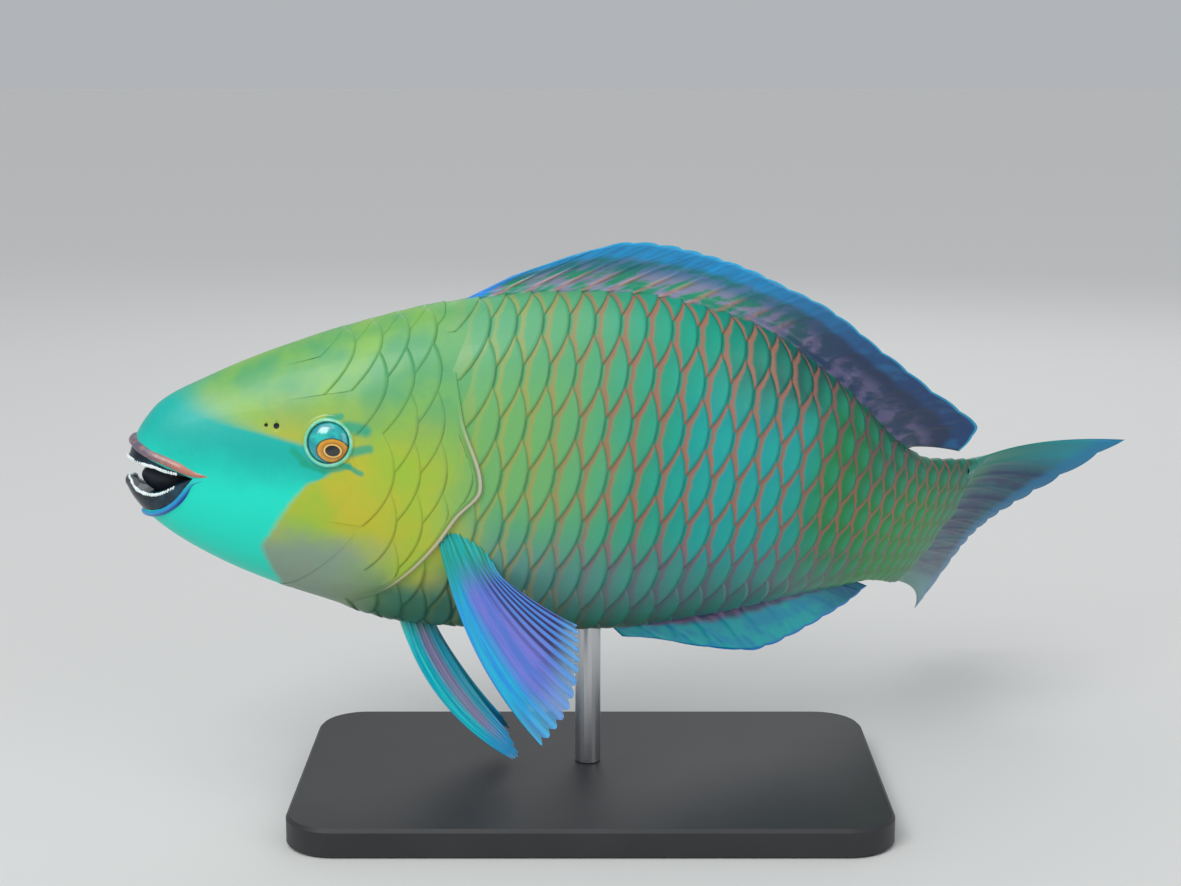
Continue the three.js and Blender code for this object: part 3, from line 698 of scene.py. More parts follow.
beak_plate("upper_beak", UPPER_LIP + [MOUTH_CORNER] + UPPER_EDGE[::-1], "beak_upper")
beak_plate("lower_beak", LOWER_EDGE + [MOUTH_CORNER] + LOWER_LIP[::-1], "beak_lower")
tooth_row("upper_teeth", UPPER_TEETH, UPPER_TEETH_FRONT, count=60, rise=-0.1)
tooth_row("lower_teeth", LOWER_TEETH, LOWER_TEETH_FRONT, count=54, rise=0.1)

# Mouth inside. A dark fleshy tongue and palate close the view through the open jaws. They are one
# plain flattened form of painted resin, set into the hollow behind the beak.
PALATE_CENTRE = (13.4, 1.8)
PALATE_RADII = (9.0, 5.2, 5.5)
PALATE_SIDES, PALATE_FLATNESS = (48, 32), 0.28
palate_form = head_oval(PALATE_CENTRE, PALATE_RADII, PALATE_SIDES, PALATE_FLATNESS)
palate = new_piece("palate", palate_form, mouth_paint.material)
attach(palate, "root")

# Eyes. Each is a low glassy dome in its socket, turquoise with a gold iris that looks a little down
# and back, under a soft raised ring of skin.
RIM_WIDTH = 2.2
RIM_OVERLAP = 0.3
RIM_SWELL, RIM_FALL = 0.62, 0.25
RIM_STRETCH, RIM_START, RIM_ROUNDING = 1.1, 0.15, 0.8
IRIS_AT = (1.7, -2.1)
IRIS_REACH = (4.7, 3.5)
PUPIL_REACH = (2.15, 1.6)
DOME_REACH = EYE_RADIUS * 1.045
DOME_SINK = 0.35
DOME = curve([(0, 2), (2.1, 1.9), (4, 1.5), (5.6, 0.7), (6.3, -0.6), (6.6, -4)])
EYE_MAP_SIZE = 20
EYE_AROUND, DOME_ROWS, RIM_ROWS = 96, 30, 14
EYE_SEAM = 0.005


def out_of_oval(x, y, centre, reach):
    """0 at an oval's centre and 1 on its edge."""
    across, upward = (x - centre[0]) / reach[0], (y - centre[1]) / reach[1]
    return (across * across + upward * upward).op("SQRT")


def round_eye(u, reach):
    return math.cos(2 * math.pi * u) * reach, math.sin(2 * math.pi * u) * reach


def eye_ball(name, face):
    on_skin = flank_frame(*EYE_PLACE, face)

    def place(u, v):
        reach = DOME_REACH * v
        return on_skin @ (Vector((*round_eye(u, reach), DOME(reach) - DOME_SINK)) * MM)

    def own(u, v):
        x, y = round_eye(u, DOME_REACH * v)
        return 0.5 + face * x / EYE_MAP_SIZE, 0.5 + y / EYE_MAP_SIZE

    bm = new_grids("Eye")
    shaped_grid(bm, EYE_AROUND, DOME_ROWS, place, {"Eye": own})
    seal(bm, EYE_SEAM)
    return new_piece(name, bm, eye_paint.material)


def eye_rim(name, face):
    """The lid's ring, whose inner side lies on the eye and whose outer side runs into the skin."""
    out = flank_frame(*EYE_PLACE, face).to_3x3() @ Vector((0, 0, 1))

    def side_place(u, v):
        x, y = round_eye(u, EYE_RADIUS - RIM_OVERLAP + RIM_WIDTH * v)
        return EYE_PLACE[0] + x, EYE_PLACE[1] + y

    def place(u, v):
        s, height = side_place(u, v)
        crest = math.sin(math.pi * min(v * RIM_STRETCH + RIM_START, 1)) ** RIM_ROUNDING
        swell = RIM_SWELL * crest - RIM_FALL * v
        return body_point(s, height, face * half_width_at(s, height)) + out * swell * MM

    bm = new_grids("Ring", "Flank")
    shaped_grid(bm, EYE_AROUND, RIM_ROWS, place, {
        "Ring": lambda u, v: (u, v), "Flank": lambda u, v: side_map(*side_place(u, v))})
    seal(bm, EYE_SEAM)
    return new_piece(name, bm, orbit_paint.material)


eye_paint = Paint("eye", roughness=0.08, coat=1.0)
eye_x, eye_y = (share * EYE_MAP_SIZE - EYE_MAP_SIZE / 2 for share in eye_paint.uv("Eye"))
iris_out = out_of_oval(eye_x, eye_y, IRIS_AT, IRIS_REACH)
pupil_out = out_of_oval(eye_x, eye_y, IRIS_AT, PUPIL_REACH)
ball = eye_paint.mix(eye_paint.noise(300.0, 4.0).step(0.4, 0.65), rgb(0, 150, 160), rgb(30, 190, 180))
gold = eye_paint.mix(iris_out.step(0.45, 0.9), rgb(150, 84, 40), rgb(214, 150, 20))
gold = eye_paint.mix(eye_paint.noise(700.0, 4.0).step(0.5, 0.75) * 0.6, gold, rgb(240, 190, 60))
iris = eye_paint.mix(iris_out.step(0.93, 1.0), gold, rgb(28, 46, 34))
ball = eye_paint.mix(1 - iris_out.step(1.0, 1.1), ball, iris)
pupil_ring = 1 - (pupil_out - 1.12).op("ABSOLUTE").step(0.06, 0.16)
ball = eye_paint.mix(pupil_ring * 0.9, ball, rgb(248, 206, 96))
eye_paint.set("Base Color", eye_paint.mix(1 - pupil_out.step(0.96, 1.04), ball, rgb(6, 12, 14)))
orbit_paint = Paint("orbit_rim", roughness=0.35, coat=0.3)
_, outward_share = orbit_paint.uv("Ring")
pale = orbit_paint.mix(orbit_paint.noise(350.0).step(0.4, 0.7), rgb(96, 206, 170), rgb(150, 226, 196))
lid = orbit_paint.mix(outward_share.step(0.05, 0.16), rgb(0, 92, 84), pale)
orbit_paint.set("Base Color", orbit_paint.mix(outward_share.step(0.30, 0.58), lid, markings(orbit_paint)[0]))
orbit_paint.bump(orbit_paint.noise(900.0), 0.25, 0.0002)
for face, node in ((1, "eye_left"), (-1, "eye_right")):
    dome = eye_ball(node + "_ball", face)
    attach(dome, "root")
    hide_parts(node)
    rim = eye_rim(node + "_rim", face)
    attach(rim, "root")

# Gill covers. A thin bony plate lies over each cheek, its free rear edge standing a millimetre off
# the shoulder with a pale rim, its front running into the skin.
GILL_EDGE = curve([
    (-60, 66), (-29, 70), (-23.6, 77.4), (-13.9, 86.9), (-5, 93.1), (4.3, 98), (13.2, 103.8), (34, 96),
    (60, 91), (90, 90)])
COVER_LOW, COVER_HIGH = -27, 46
COVER_LOW_FADE, COVER_HIGH_FADE = 8, 22
COVER_REACH = 24
COVER_LIFT = 1.1
COVER_WALL = 0.96
COVER_WALL_ROOT = 0.6
COVER_FRONT_SINK = 0.12
COVER_HOLLOWNESS = 1.6
COVER_COLUMNS, COVER_ROWS = 50, 110


def faded(distance, reach):
    """0 at a distance of nothing and 1 past the reach, smooth between."""
    share = min(max(distance / reach, 0), 1)
    return share * share * (3 - 2 * share)


def cover_lift(s, height):
    """How far the gill cover stands over the form at a place of the side view."""
    nearness = 1 - min(max((GILL_EDGE(height) - s) / COVER_REACH, 0), 1)
    ends = faded(height - COVER_LOW, COVER_LOW_FADE) * faded(COVER_HIGH - height, COVER_HIGH_FADE)
    return COVER_LIFT * nearness ** COVER_HOLLOWNESS * ends


def gill_cover(name, face):
    def side_place(u, v):
        height = COVER_LOW + (COVER_HIGH - COVER_LOW) * v
        return GILL_EDGE(height) - COVER_REACH * (1 - min(u / COVER_WALL, 1)), height

    def place(u, v):
        s, height = side_place(u, v)
        turn = turn_at(s, height)
        drop = max(u - COVER_WALL, 0) / (1 - COVER_WALL) * (COVER_LIFT + COVER_WALL_ROOT)
        lift = cover_lift(s, height) - COVER_FRONT_SINK * (1 - u) - drop
        return skin_point(s, turn if face > 0 else 1 - turn, lift)

    bm = new_grids("Flank", "Rim")
    shaped_grid(bm, COVER_COLUMNS, COVER_ROWS, place, {
        "Flank": lambda u, v: side_map(*side_place(u, v)), "Rim": lambda u, v: (u, v)})
    bmesh.ops.recalc_face_normals(bm, faces=bm.faces)
    return new_piece(name, bm, cover_paint.material)


cover_paint = Paint("gill_cover", roughness=0.42, coat=0.12, specular=0.4)
to_edge, to_top = cover_paint.uv("Rim")
ends = to_top.step(0.02, 0.2) * (1 - to_top.step(0.62, 0.9))
shadow = to_edge.step(0.87, 0.90) * (1 - to_edge.step(0.905, 0.925)) * ends
cover_colour = cover_paint.mix(shadow * 0.45, markings(cover_paint)[0], rgb(70, 84, 60))
cover_colour = cover_paint.mix(to_edge.step(0.915, 0.935) * ends * 0.8, cover_colour, rgb(206, 182, 176))
cover_paint.set("Base Color", cover_colour)
cover_paint.bump(grain(cover_paint, 900.0, 220.0, 0.6), 0.25)
for face, name in ((1, "gill_cover_left"), (-1, "gill_cover_right")):
    cover = gill_cover(name, face)
    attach(cover, "root")

# Scales. Each is a thin plate rooted in the skin with its free edge over the next, in eight rows on
# either flank, tall and narrow as this kind's are. They are broad and raised on the body, and faint
# on nape and cheek.
ROWS_ROUND = 16
FIRST_STATION, FIRST_SCALE = 44, 56
COAT_END = BODY_LENGTH + 4
OVERLAP = 1.5
COLUMN_LEAN = 0.10
SCALE_SINK, SCALE_LIFT, SCALE_CORNER_DROP, SCALE_WALL = 0.75, 0.32, 0.34, 0.8
SCALE_COLUMNS = 11
SCALE_ACROSS = 16
SCALE_MARGIN, SCALE_CORNER, SCALE_ROUNDING = 0.5, 0.78, 1.9
SCALE_MAP_SIZE = 4
CHEEK_RELIEF, CHEEK_SINK, CHEEK_EDGE_LIFT = 0.17, 0.2, 0.06
CHEEK_GAP = 2.4
COVER_CLEAR, EYE_CLEAR = 3, 17
MASK_CLEAR, MASK_TOP, CHIN_TOP, CHIN_SLOPE = 68, 40, 12, 0.15
BAKE_PATCH = 0.003
PITCH_BACK = curve([(40, 7.4), (225, 7.5), (285, 6.2)])
STATIONS_SPARE = 20
stations = [FIRST_STATION]
while stations[-1] < BODY_LENGTH + STATIONS_SPARE:
    stations.append(stations[-1] + PITCH_BACK(stations[-1]))
ARC_STEPS, ARC_SPACING = 72, 2
arc_tables = {}


def station(index):
    i = min(max(int(math.floor(index)), 0), len(stations) - 2)
    return stations[i] + (stations[i + 1] - stations[i]) * (index - i)


def turn_of(s, row):
    """The turn round the body of a row of scales, with the rows spaced evenly over the skin."""
    key = round(s / ARC_SPACING)
    if key not in arc_tables:
        points = [Vector(section(ARC_SPACING * key, i / (2 * ARC_STEPS))) for i in range(ARC_STEPS + 1)]
        run = [0]
        for a, b in zip(points, points[1:]):
            run.append(run[-1] + (b - a).length)
        arc_tables[key] = [length / run[-1] for length in run]
    table = arc_tables[key]
    share = (row / (ROWS_ROUND / 2)) % 2
    mirrored = share > 1
    share = 2 - share if mirrored else share
    i = next((k for k in range(1, len(table)) if table[k] >= share), len(table) - 1)
    part = (share - table[i - 1]) / (table[i] - table[i - 1])
    turn = (i - 1 + part) / (2 * ARC_STEPS)
    return 1 - turn if mirrored else turn


def margin(v):
    """Where a scale's free edge lies behind its middle, at a place across the scale."""
    return SCALE_MARGIN - SCALE_MARGIN * (abs(v) / SCALE_CORNER) ** SCALE_ROUNDING


def front_of(v):
    """Where the exposed part of a scale begins, behind the free edges of those in front of it."""
    return max(margin(v) - 1, margin(1 - abs(v)) - 0.5)


def add_scale(bm, index, row, relief):
    """One plate of the lattice, from its root under the scale in front to its free edge."""
    on_head = relief < 1
    root_s, root_turn = station(index - 1), turn_of(station(index - 1), row)

    def lattice(u, v):
        share = min(u * SCALE_COLUMNS / (SCALE_COLUMNS - 1), 1)
        behind = margin(v) - OVERLAP * (1 - share)
        s = station(index + behind)
        turn = turn_of(s, row + v)
        height = section(s, turn)[0]
        s += COLUMN_LEAN * height
        if on_head:
            s = min(s, GILL_EDGE(height) - CHEEK_GAP)
        return min(max(s, 0), COAT_END), turn, share, behind

    def place(u, v):
        v = 2 * v - 1
        s, turn, share, _ = lattice(u, v)
        lift = -SCALE_SINK + (SCALE_SINK + SCALE_LIFT) * share - SCALE_CORNER_DROP * abs(v) ** 3
        lift = lift * relief - SCALE_DEPTH * (1 - relief) * CHEEK_SINK
        if on_head:
            lift += cover_lift(s, section(s, turn)[0]) + CHEEK_EDGE_LIFT * share
        if u > 1 - 0.5 / SCALE_COLUMNS:
            lift -= SCALE_WALL
        return skin_point(s, turn, lift)

    def flank(u, v):
        s, turn, _, _ = lattice(u, 2 * v - 1)
        return flank_map(s, turn)

    def own(u, v):
        v = 2 * v - 1
        _, _, _, behind = lattice(u, v)
        return (behind - front_of(v) + SCALE_MAP_SIZE / 2) / SCALE_MAP_SIZE, (v + 1) / 2

    def bake(u, v):
        return root_s / BODY_LENGTH + (u - 0.5) * BAKE_PATCH, root_turn + (v - 0.5) * BAKE_PATCH

    shaped_grid(bm, SCALE_COLUMNS, SCALE_ACROSS, place, {"Flank": flank, "Scale": own, "OFBake": bake})


def relief_at(s, height):
    """How raised a scale at a place of the side view is, or 0 where none is set."""
    behind_gill = s - GILL_EDGE(height)
    if s > BODY_LENGTH - 1 or s < FIRST_SCALE:
        return 0
    if behind_gill > 0:
        return 1
    near_eye = math.hypot(s - EYE_PLACE[0], height - EYE_PLACE[1]) < EYE_CLEAR
    in_mask = height < MASK_TOP and s < MASK_CLEAR + max(0, CHIN_TOP - height) * CHIN_SLOPE
    return 0 if behind_gill >= -COVER_CLEAR or near_eye or in_mask else CHEEK_RELIEF


scale_paint = Paint("scales", roughness=0.4, coat=0.15, specular=0.4)
scale_colour, scale_s, scale_h = markings(scale_paint)
from_front, off_row = scale_paint.uv("Scale")
from_front, off_row = from_front * SCALE_MAP_SIZE - SCALE_MAP_SIZE / 2, off_row * 2 - 1
middle = 1 - off_row.op("ABSOLUTE").step(0.08, 0.75)
ragged = (scale_paint.noise(420.0) - 0.5) * 0.14
band_width = 0.14 + middle * 0.20
band = 1 - ((from_front + ragged) / band_width).step(0.62, 1.15)
strength = scale_s.step(100, 150) * (1 - scale_s.step(262, 290) * 0.6) * (0.35 + scale_h.step(-30, 4) * 0.65)
salmon = scale_paint.mix(scale_h.step(-12, 14), rgb(122, 100, 126), rgb(162, 106, 86))
salmon = scale_paint.mix(scale_s.step(185, 225) * scale_h.step(14, 40), salmon, rgb(112, 72, 84))
faint = scale_s.step(84, 112) * (1 - scale_s.step(112, 158)) * 0.5
scale_colour = scale_paint.mix(faint * band, scale_colour, rgb(176, 166, 70))
bright = from_front.step(0.3, 0.9) * middle * 0.25
scale_colour = scale_paint.mix(bright * scale_s.step(120, 150), scale_colour, rgb(0, 190, 160))
scale_colour = scale_paint.mix(strength * band * 0.92, scale_colour, salmon)
# Painted shadow: a thin dark line along each scale's free edge stands for the shade under the raised edge.
painted_edge_shadow = from_front.step(0.90, 0.99) * 0.30 * scale_s.step(70, 110)
scale_paint.set("Base Color", scale_paint.mix(painted_edge_shadow, scale_colour, rgb(20, 70, 62)))
scale_paint.bump(grain(scale_paint, 1100.0, 260.0, 0.5), 0.28)
for name, rows in (("scales_left", range(0, 8)), ("scales_right", range(8, 16))):
    bm = new_grids("Flank", "Scale", "OFBake")
    for row in rows:
        for step in range(len(stations) - 1):
            index = step + 0.5 * (row % 2)
            s = min(station(index), BODY_LENGTH)
            height = section(s, turn_of(s, row))[0]
            relief = relief_at(station(index) + COLUMN_LEAN * height, height)
            if relief:
                add_scale(bm, index, row, relief)
    bmesh.ops.recalc_face_normals(bm, faces=bm.faces)
    coat = new_piece(name, bm, scale_paint.material)
    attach(coat, "root")

# Dorsal fin. Nine slender spines lead ten soft rays in one low fin along the back. It is green and
# lilac in streaks at its root, with a bright blue border that darkens to indigo at the rear. Every
# fin is a thin sheet cast in one piece, with rays as ridges on both faces that fork towards the tip.
RAY_COLUMNS = 12
FIN_ROWS = 44
FIN_EDGE = 0.55
RIDGE = 0.5
RIDGE_WIDTH, RIDGE_NARROWING = 0.13, 0.05
RIDGE_FADING = 0.62
FORK, SECOND_FORK, SECOND_FORK_AFTER, FORKS_END = 0.24, 0.11, 0.3, 0.7
FORK_OPENING = 0.8
NOTCH = 0.03
SIDE_FADE, TIP_FADE, TIP_THICKNESS = 0.3, 0.03, 0.12
FIN_SEAM = 0.02
LEAN_AT_ROOT = 0.4
STREAKS_PER_RAY = 1.6
FIN_ROUGHNESS, FIN_COAT = 0.35, 0.25
DORSAL_RAYS = 19
DORSAL_FROM, DORSAL_TO, DORSAL_MIDDLE = 95, 247, 160
DORSAL_LENGTH = curve([
    (95, 15), (103, 27), (112, 33), (125, 32), (155, 24), (185, 19), (205, 19), (224, 22.5), (240, 28.5),
    (247, 18)])
DORSAL_RAKE = curve([(95, 57), (115, 57), (140, 60), (200, 61), (224, 65), (240, 69), (247, 80)])
DORSAL_LEAN = curve([(95, 0), (185, 3), (212, 8), (236, 18), (247, 28)])


def fin(name, place, facing, rays, paint, root, foot=0.07, branching=0.42):
    """A fin whose middle sheet is place(u, v), u across its rays and v from root to tip."""
    def across(u):
        return 2 * u if u < 0.5 else 2 - 2 * u

    def relief(u, v):
        ray = u * (rays - 1)
        off = abs(ray - round(ray))
        first = FORK * min(max((v - branching) / (1 - branching), 0), 1) ** FORK_OPENING
        second = SECOND_FORK * min(max((v - branching - SECOND_FORK_AFTER) / (FORKS_END - branching), 0), 1)
        off = abs(abs(off - first) - second)
        return math.exp(-(off / (RIDGE_WIDTH - RIDGE_NARROWING * v)) ** 2)

    def sheet(u, v):
        ray = u * (rays - 1)
        off = abs(ray - round(ray)) * 2
        v = v * (1 + foot) - foot
        return u, v * (1 - NOTCH * off ** 2 * max(v, 0))

    def point(w, v):
        u, v = sheet(across(w), v)
        step_u, step_v = 0.004, 0.01
        along = place(u, v + step_v) - place(u, v - step_v)
        sideways = place(min(u + step_u, 1), v) - place(max(u - step_u, 0), v)
        normal = sideways.cross(along).normalized()
        if normal.dot(facing) < 0:
            normal.negate()
        body = FIN_EDGE + (root - FIN_EDGE) * math.exp(-(max(v, 0) / foot) ** 2 / 2)
        thick = (body + 2 * RIDGE * relief(u, max(v, 0)) * (1 - RIDGE_FADING * max(v, 0))) / 2
        rim = math.sqrt(min(1, u * (rays - 1) / SIDE_FADE, (1 - u) * (rays - 1) / SIDE_FADE))
        tip = min(1, (1 - min(v / (1 - NOTCH), 1)) / TIP_FADE + TIP_THICKNESS) if v < 1 else 0
        return place(u, v) + normal * (thick * rim * tip * (1 if w < 0.5 else -1)) * MM

    bm = new_grids("Fin")
    shaped_grid(bm, 2 * (rays - 1) * RAY_COLUMNS, FIN_ROWS, point, {"Fin": lambda w, v: (across(w), v)})
    seal(bm, FIN_SEAM)
    return new_piece(name, bm, paint.material)


def streaks_of(paint, u, v, rays, long):
    """A noise drawn out along the rays."""
    along_rays = paint.node("ShaderNodeCombineXYZ", None, {
        0: u * rays * STREAKS_PER_RAY, 1: v * long, 2: 0.0})
    return paint.noise(1.0, 3.0, along_rays)


def fin_paint(name, rays, long, roughness=FIN_ROUGHNESS):
    """A fin's paint, its places across the rays and out along them, 1 on each ray and 0 midway
    between two, and its streaks."""
    paint = Paint(name, roughness=roughness, coat=FIN_COAT)
    paint.bump(paint.noise(700.0), 0.2)
    u, v = paint.uv("Fin")
    on_ray = ((u * (rays - 1)).op("FRACT") - 0.5).op("ABSOLUTE") * 2
    return paint, u, v, on_ray, streaks_of(paint, u, v, rays, long)


def midline_place(start, end, length, rake_at, lean_at, profile, side):
    """The sheet of a fin on the back, at side 1, or on the belly, at side -1."""
    def place(u, v):
        s = start + (end - start) * u
        _, back, up, left = spine(s)
        rake = math.radians(rake_at(s))
        lean = math.radians(lean_at(s) * (LEAN_AT_ROOT + (1 - LEAN_AT_ROOT) * v))
        ray = up * side * math.cos(rake) + back * math.sin(rake)
        ray = ray * math.cos(lean) + left * math.sin(lean)
        return body_point(s, side * profile(s), 0) + ray * length(s) * v * MM
    return place


dorsal_paint, u, v, on_ray, streaks = fin_paint("dorsal_fin", DORSAL_RAYS, 3.2)
foot_front = dorsal_paint.mix(streaks.step(0.42, 0.56), rgb(20, 140, 104), rgb(128, 132, 160))
foot_front = dorsal_paint.mix(on_ray.step(0.62, 0.95) * 0.7, foot_front, rgb(164, 120, 96))
foot_rear = dorsal_paint.mix(streaks.step(0.44, 0.60), rgb(16, 52, 88), rgb(86, 84, 124))
foot_colour = dorsal_paint.mix(u.step(0.42, 0.72), foot_front, foot_rear)
border = dorsal_paint.mix(u.step(0.35, 0.85), rgb(0, 138, 196), rgb(0, 58, 112))
long_streaks = streaks_of(dorsal_paint, u, v, DORSAL_RAYS, 2.0).step(0.5, 0.65)
border = dorsal_paint.mix(long_streaks * 0.5, border, rgb(0, 108, 160))
middle_band = dorsal_paint.mix(streaks.step(0.45, 0.6), rgb(0, 110, 120), rgb(70, 112, 150))
middle_band = dorsal_paint.mix(u.step(0.42, 0.75), middle_band, rgb(10, 44, 84))
wave = v + on_ray * 0.05
fin_colour = dorsal_paint.mix(wave.step(0.34, 0.60), foot_colour, middle_band)
fin_colour = dorsal_paint.mix(wave.step(0.66, 0.80), fin_colour, border)
fin_colour = dorsal_paint.mix(v.step(0.955, 0.985) * 0.8, fin_colour, rgb(0, 172, 216))
fin_colour = dorsal_paint.mix(1 - (u * 60 + v * 1.5).step(1.0, 2.6), fin_colour, rgb(0, 132, 224))
dorsal_paint.set("Base Color", fin_colour)
dorsal_place = midline_place(DORSAL_FROM, DORSAL_TO, DORSAL_LENGTH, DORSAL_RAKE, DORSAL_LEAN, BACK, 1)
dorsal = fin("dorsal_fin", dorsal_place, spine(DORSAL_MIDDLE)[3], DORSAL_RAYS, dorsal_paint, root=3.4,
             branching=0.5)
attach(dorsal, "root")
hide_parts("dorsal_fin_front", "dorsal_fin_rear")

# Anal fin. Three spines and nine soft rays stand under the tail, mauve at the root and bright cyan
# beyond. It is a thin cast sheet like the dorsal fin, set into the belly's midline.
ANAL_RAYS = 12
ANAL_FROM, ANAL_TO, ANAL_MIDDLE = 152, 247, 200
ANAL_LENGTH = curve([
    (152, 6), (160, 8.5), (168, 14), (176, 19), (188, 23.4), (205, 21.6), (225, 17), (247, 9)])
ANAL_RAKE = curve([(152, 52), (195, 53), (215, 59), (235, 67), (247, 76)])
ANAL_LEAN = curve([(152, 0), (195, 2), (225, 9), (247, 15)])
anal_paint, u, v, on_ray, streaks = fin_paint("anal_fin", ANAL_RAYS, 3.0)
mauve = anal_paint.mix(streaks.step(0.42, 0.6), rgb(66, 80, 116), rgb(120, 100, 140))
cyan = anal_paint.mix(streaks.step(0.4, 0.62), rgb(0, 182, 190), rgb(0, 160, 196))
fin_colour = anal_paint.mix((v + on_ray * 0.06).step(0.26, 0.42), mauve, cyan)
fin_colour = anal_paint.mix(u.step(0.60, 0.92) * 0.8, fin_colour, rgb(0, 74, 122))
anal_paint.set("Base Color", anal_paint.mix(v.step(0.93, 0.98), fin_colour, rgb(0, 130, 214)))
anal_place = midline_place(ANAL_FROM, ANAL_TO, ANAL_LENGTH, ANAL_RAKE, ANAL_LEAN, BELLY, -1)
anal = fin("anal_fin_cast", anal_place, spine(ANAL_MIDDLE)[3], ANAL_RAYS, anal_paint, root=3.0)
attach(anal, "root")
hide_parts("anal_fin")

# Caudal fin. Thirteen branched rays fan from the end of the stalk, longest at the two horns. The fan
# has swung round and twisted further than the body.
CAUDAL_RAYS = 13
CAUDAL_FAN = directions(48, 19, 31)
CAUDAL_SPREAD = 41
CAUDAL_REACH = curve([(0, 36), (8, 37), (17, 41), (26, 49), (34, 62), (41, 80)])
CAUDAL_SINK, CAUDAL_START = 0.6, 0.5
CAUDAL_CROWDING, CAUDAL_LEAD, CAUDAL_FLARE = 0.9, 0.45, 0.1


def caudal_place(u, v):
    at, back, up, _ = spine(BODY_LENGTH)
    side, out = (1, 2 * u - 1) if u >= 0.5 else (-1, 1 - 2 * u)
    root_height = (BACK(BODY_LENGTH) if side > 0 else BELLY(BODY_LENGTH)) - CAUDAL_SINK
    root = at + up * side * root_height * out - back * CAUDAL_START
    angle = CAUDAL_SPREAD * out ** CAUDAL_CROWDING
    reach, turn = CAUDAL_REACH(angle), math.radians(angle)
    fan_back, fan_up, _ = CAUDAL_FAN
    tip = at + fan_back * reach * math.cos(turn) + fan_up * side * reach * math.sin(turn)
    lead = root + back * reach * CAUDAL_LEAD + up * side * reach * CAUDAL_FLARE * out
    return (root * (1 - v) ** 2 + lead * 2 * v * (1 - v) + tip * v * v) * MM


caudal_paint, u, v, on_ray, streaks = fin_paint("caudal_fin", CAUDAL_RAYS, 2.6)
base = caudal_paint.mix(streaks.step(0.4, 0.62), rgb(8, 112, 62), rgb(0, 124, 96))
outer = caudal_paint.mix(streaks.step(0.42, 0.6), rgb(0, 86, 104), rgb(6, 52, 92))
fin_colour = caudal_paint.mix(v.step(0.16, 0.46), base, outer)
horn = (u - 0.5).op("ABSOLUTE").step(0.36, 0.45)
horn_colour = caudal_paint.mix(v.step(0.3, 0.9), rgb(0, 128, 112), rgb(0, 140, 156))
fin_colour = caudal_paint.mix(horn * 0.9, fin_colour, horn_colour)
fin_colour = caudal_paint.mix((v + on_ray * 0.04).step(0.84, 0.94) * 0.8, fin_colour, rgb(0, 120, 170))
caudal_paint.set("Base Color", fin_colour)
caudal = fin("caudal_fin", caudal_place, spine(BODY_LENGTH)[3], CAUDAL_RAYS, caudal_paint, root=5.0,
             foot=0.06, branching=0.34)
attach(caudal, "root")
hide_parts("caudal_fin_upper", "caudal_fin_lower")

# Pectoral fins. Thirteen rays spread from a fleshy foot low behind each gill cover. Cyan in front,
# lilac blue in the middle, with dark stripes between the hind rays and thin clear tips.
PECTORAL_RAYS = 13
PECTORAL_FRONT, PECTORAL_BACK, PECTORAL_RISE = (95.2, -8.5), (107.5, -9.6), 3.4
PECTORAL_SINK = 0.4
PECTORAL_FOLDS = ((1, "left", 0), (-1, "right", 38))
PECTORAL_LENGTH = curve([(0, 63), (0.3, 58), (0.6, 47.5), (0.8, 40), (1, 33)])
PECTORAL_DROP = curve([(0, 55), (0.3, 48), (0.6, 39), (0.8, 33), (1, 25)])
PECTORAL_OUT = curve([(0, 22), (1, 17)])
PECTORAL_BOW = curve([(0, 0.28), (1, 0.15)])
PAIRED_ROUGHNESS = 0.32


def paired_place(root_at, from_s, face, fold, length_at, drop_at, out_at, bow_at):
    """The sheet of one of a pair of fins, whose root is root_at(u) and whose rays bow forwards."""
    _, back, up, left = spine(from_s)

    def place(u, v):
        drop, out, length = math.radians(drop_at(u) - fold), math.radians(out_at(u)), length_at(u)
        ray = back * math.cos(drop) - up * math.sin(drop)
        forward = -back * math.sin(drop) - up * math.cos(drop)
        ray = ray * math.cos(out) + left * face * math.sin(out)
        return root_at(u) + (ray * length * v + forward * length * bow_at(u) * v * (1 - v)) * MM
    return place


def pectoral_fin(name, face, fold):
    def root(u):
        s = PECTORAL_FRONT[0] + (PECTORAL_BACK[0] - PECTORAL_FRONT[0]) * u
        height = PECTORAL_FRONT[1] + (PECTORAL_BACK[1] - PECTORAL_FRONT[1]) * u
        height += PECTORAL_RISE * math.sin(math.pi * u)
        return body_point(s, height, face * (half_width_at(s, height) - PECTORAL_SINK))
    place = paired_place(root, PECTORAL_FRONT[0], face, fold, PECTORAL_LENGTH, PECTORAL_DROP, PECTORAL_OUT,
                         PECTORAL_BOW)
    return fin(name, place, spine(PECTORAL_FRONT[0])[3] * face, PECTORAL_RAYS, pectoral_paint, root=5.0,
               foot=0.09, branching=0.38)


pectoral_paint, u, v, on_ray, streaks = fin_paint("pectoral_fins", PECTORAL_RAYS, 2.4, PAIRED_ROUGHNESS)
foot_colour = pectoral_paint.mix(streaks.step(0.4, 0.6), rgb(10, 150, 128), rgb(0, 176, 180))
lilac = pectoral_paint.mix(streaks.step(0.4, 0.62), rgb(76, 112, 200), rgb(112, 116, 206))
web = pectoral_paint.mix((1 - on_ray.step(0.25, 0.6)) * u.step(0.35, 0.6), lilac, rgb(22, 26, 84))
web = pectoral_paint.mix(on_ray.step(0.55, 0.85) * u.step(0.4, 0.7) * 0.7, web, rgb(30, 150, 220))
cyan = pectoral_paint.mix(streaks.step(0.4, 0.6), rgb(0, 168, 206), rgb(0, 140, 214))
web = pectoral_paint.mix(1 - u.step(0.13, 0.26), web, cyan)
fin_colour = pectoral_paint.mix(v.step(0.10, 0.34), foot_colour, web)
pectoral_paint.set("Base Color", pectoral_paint.mix(v.step(0.80, 0.98) * 0.5, fin_colour, rgb(96, 176, 220)))
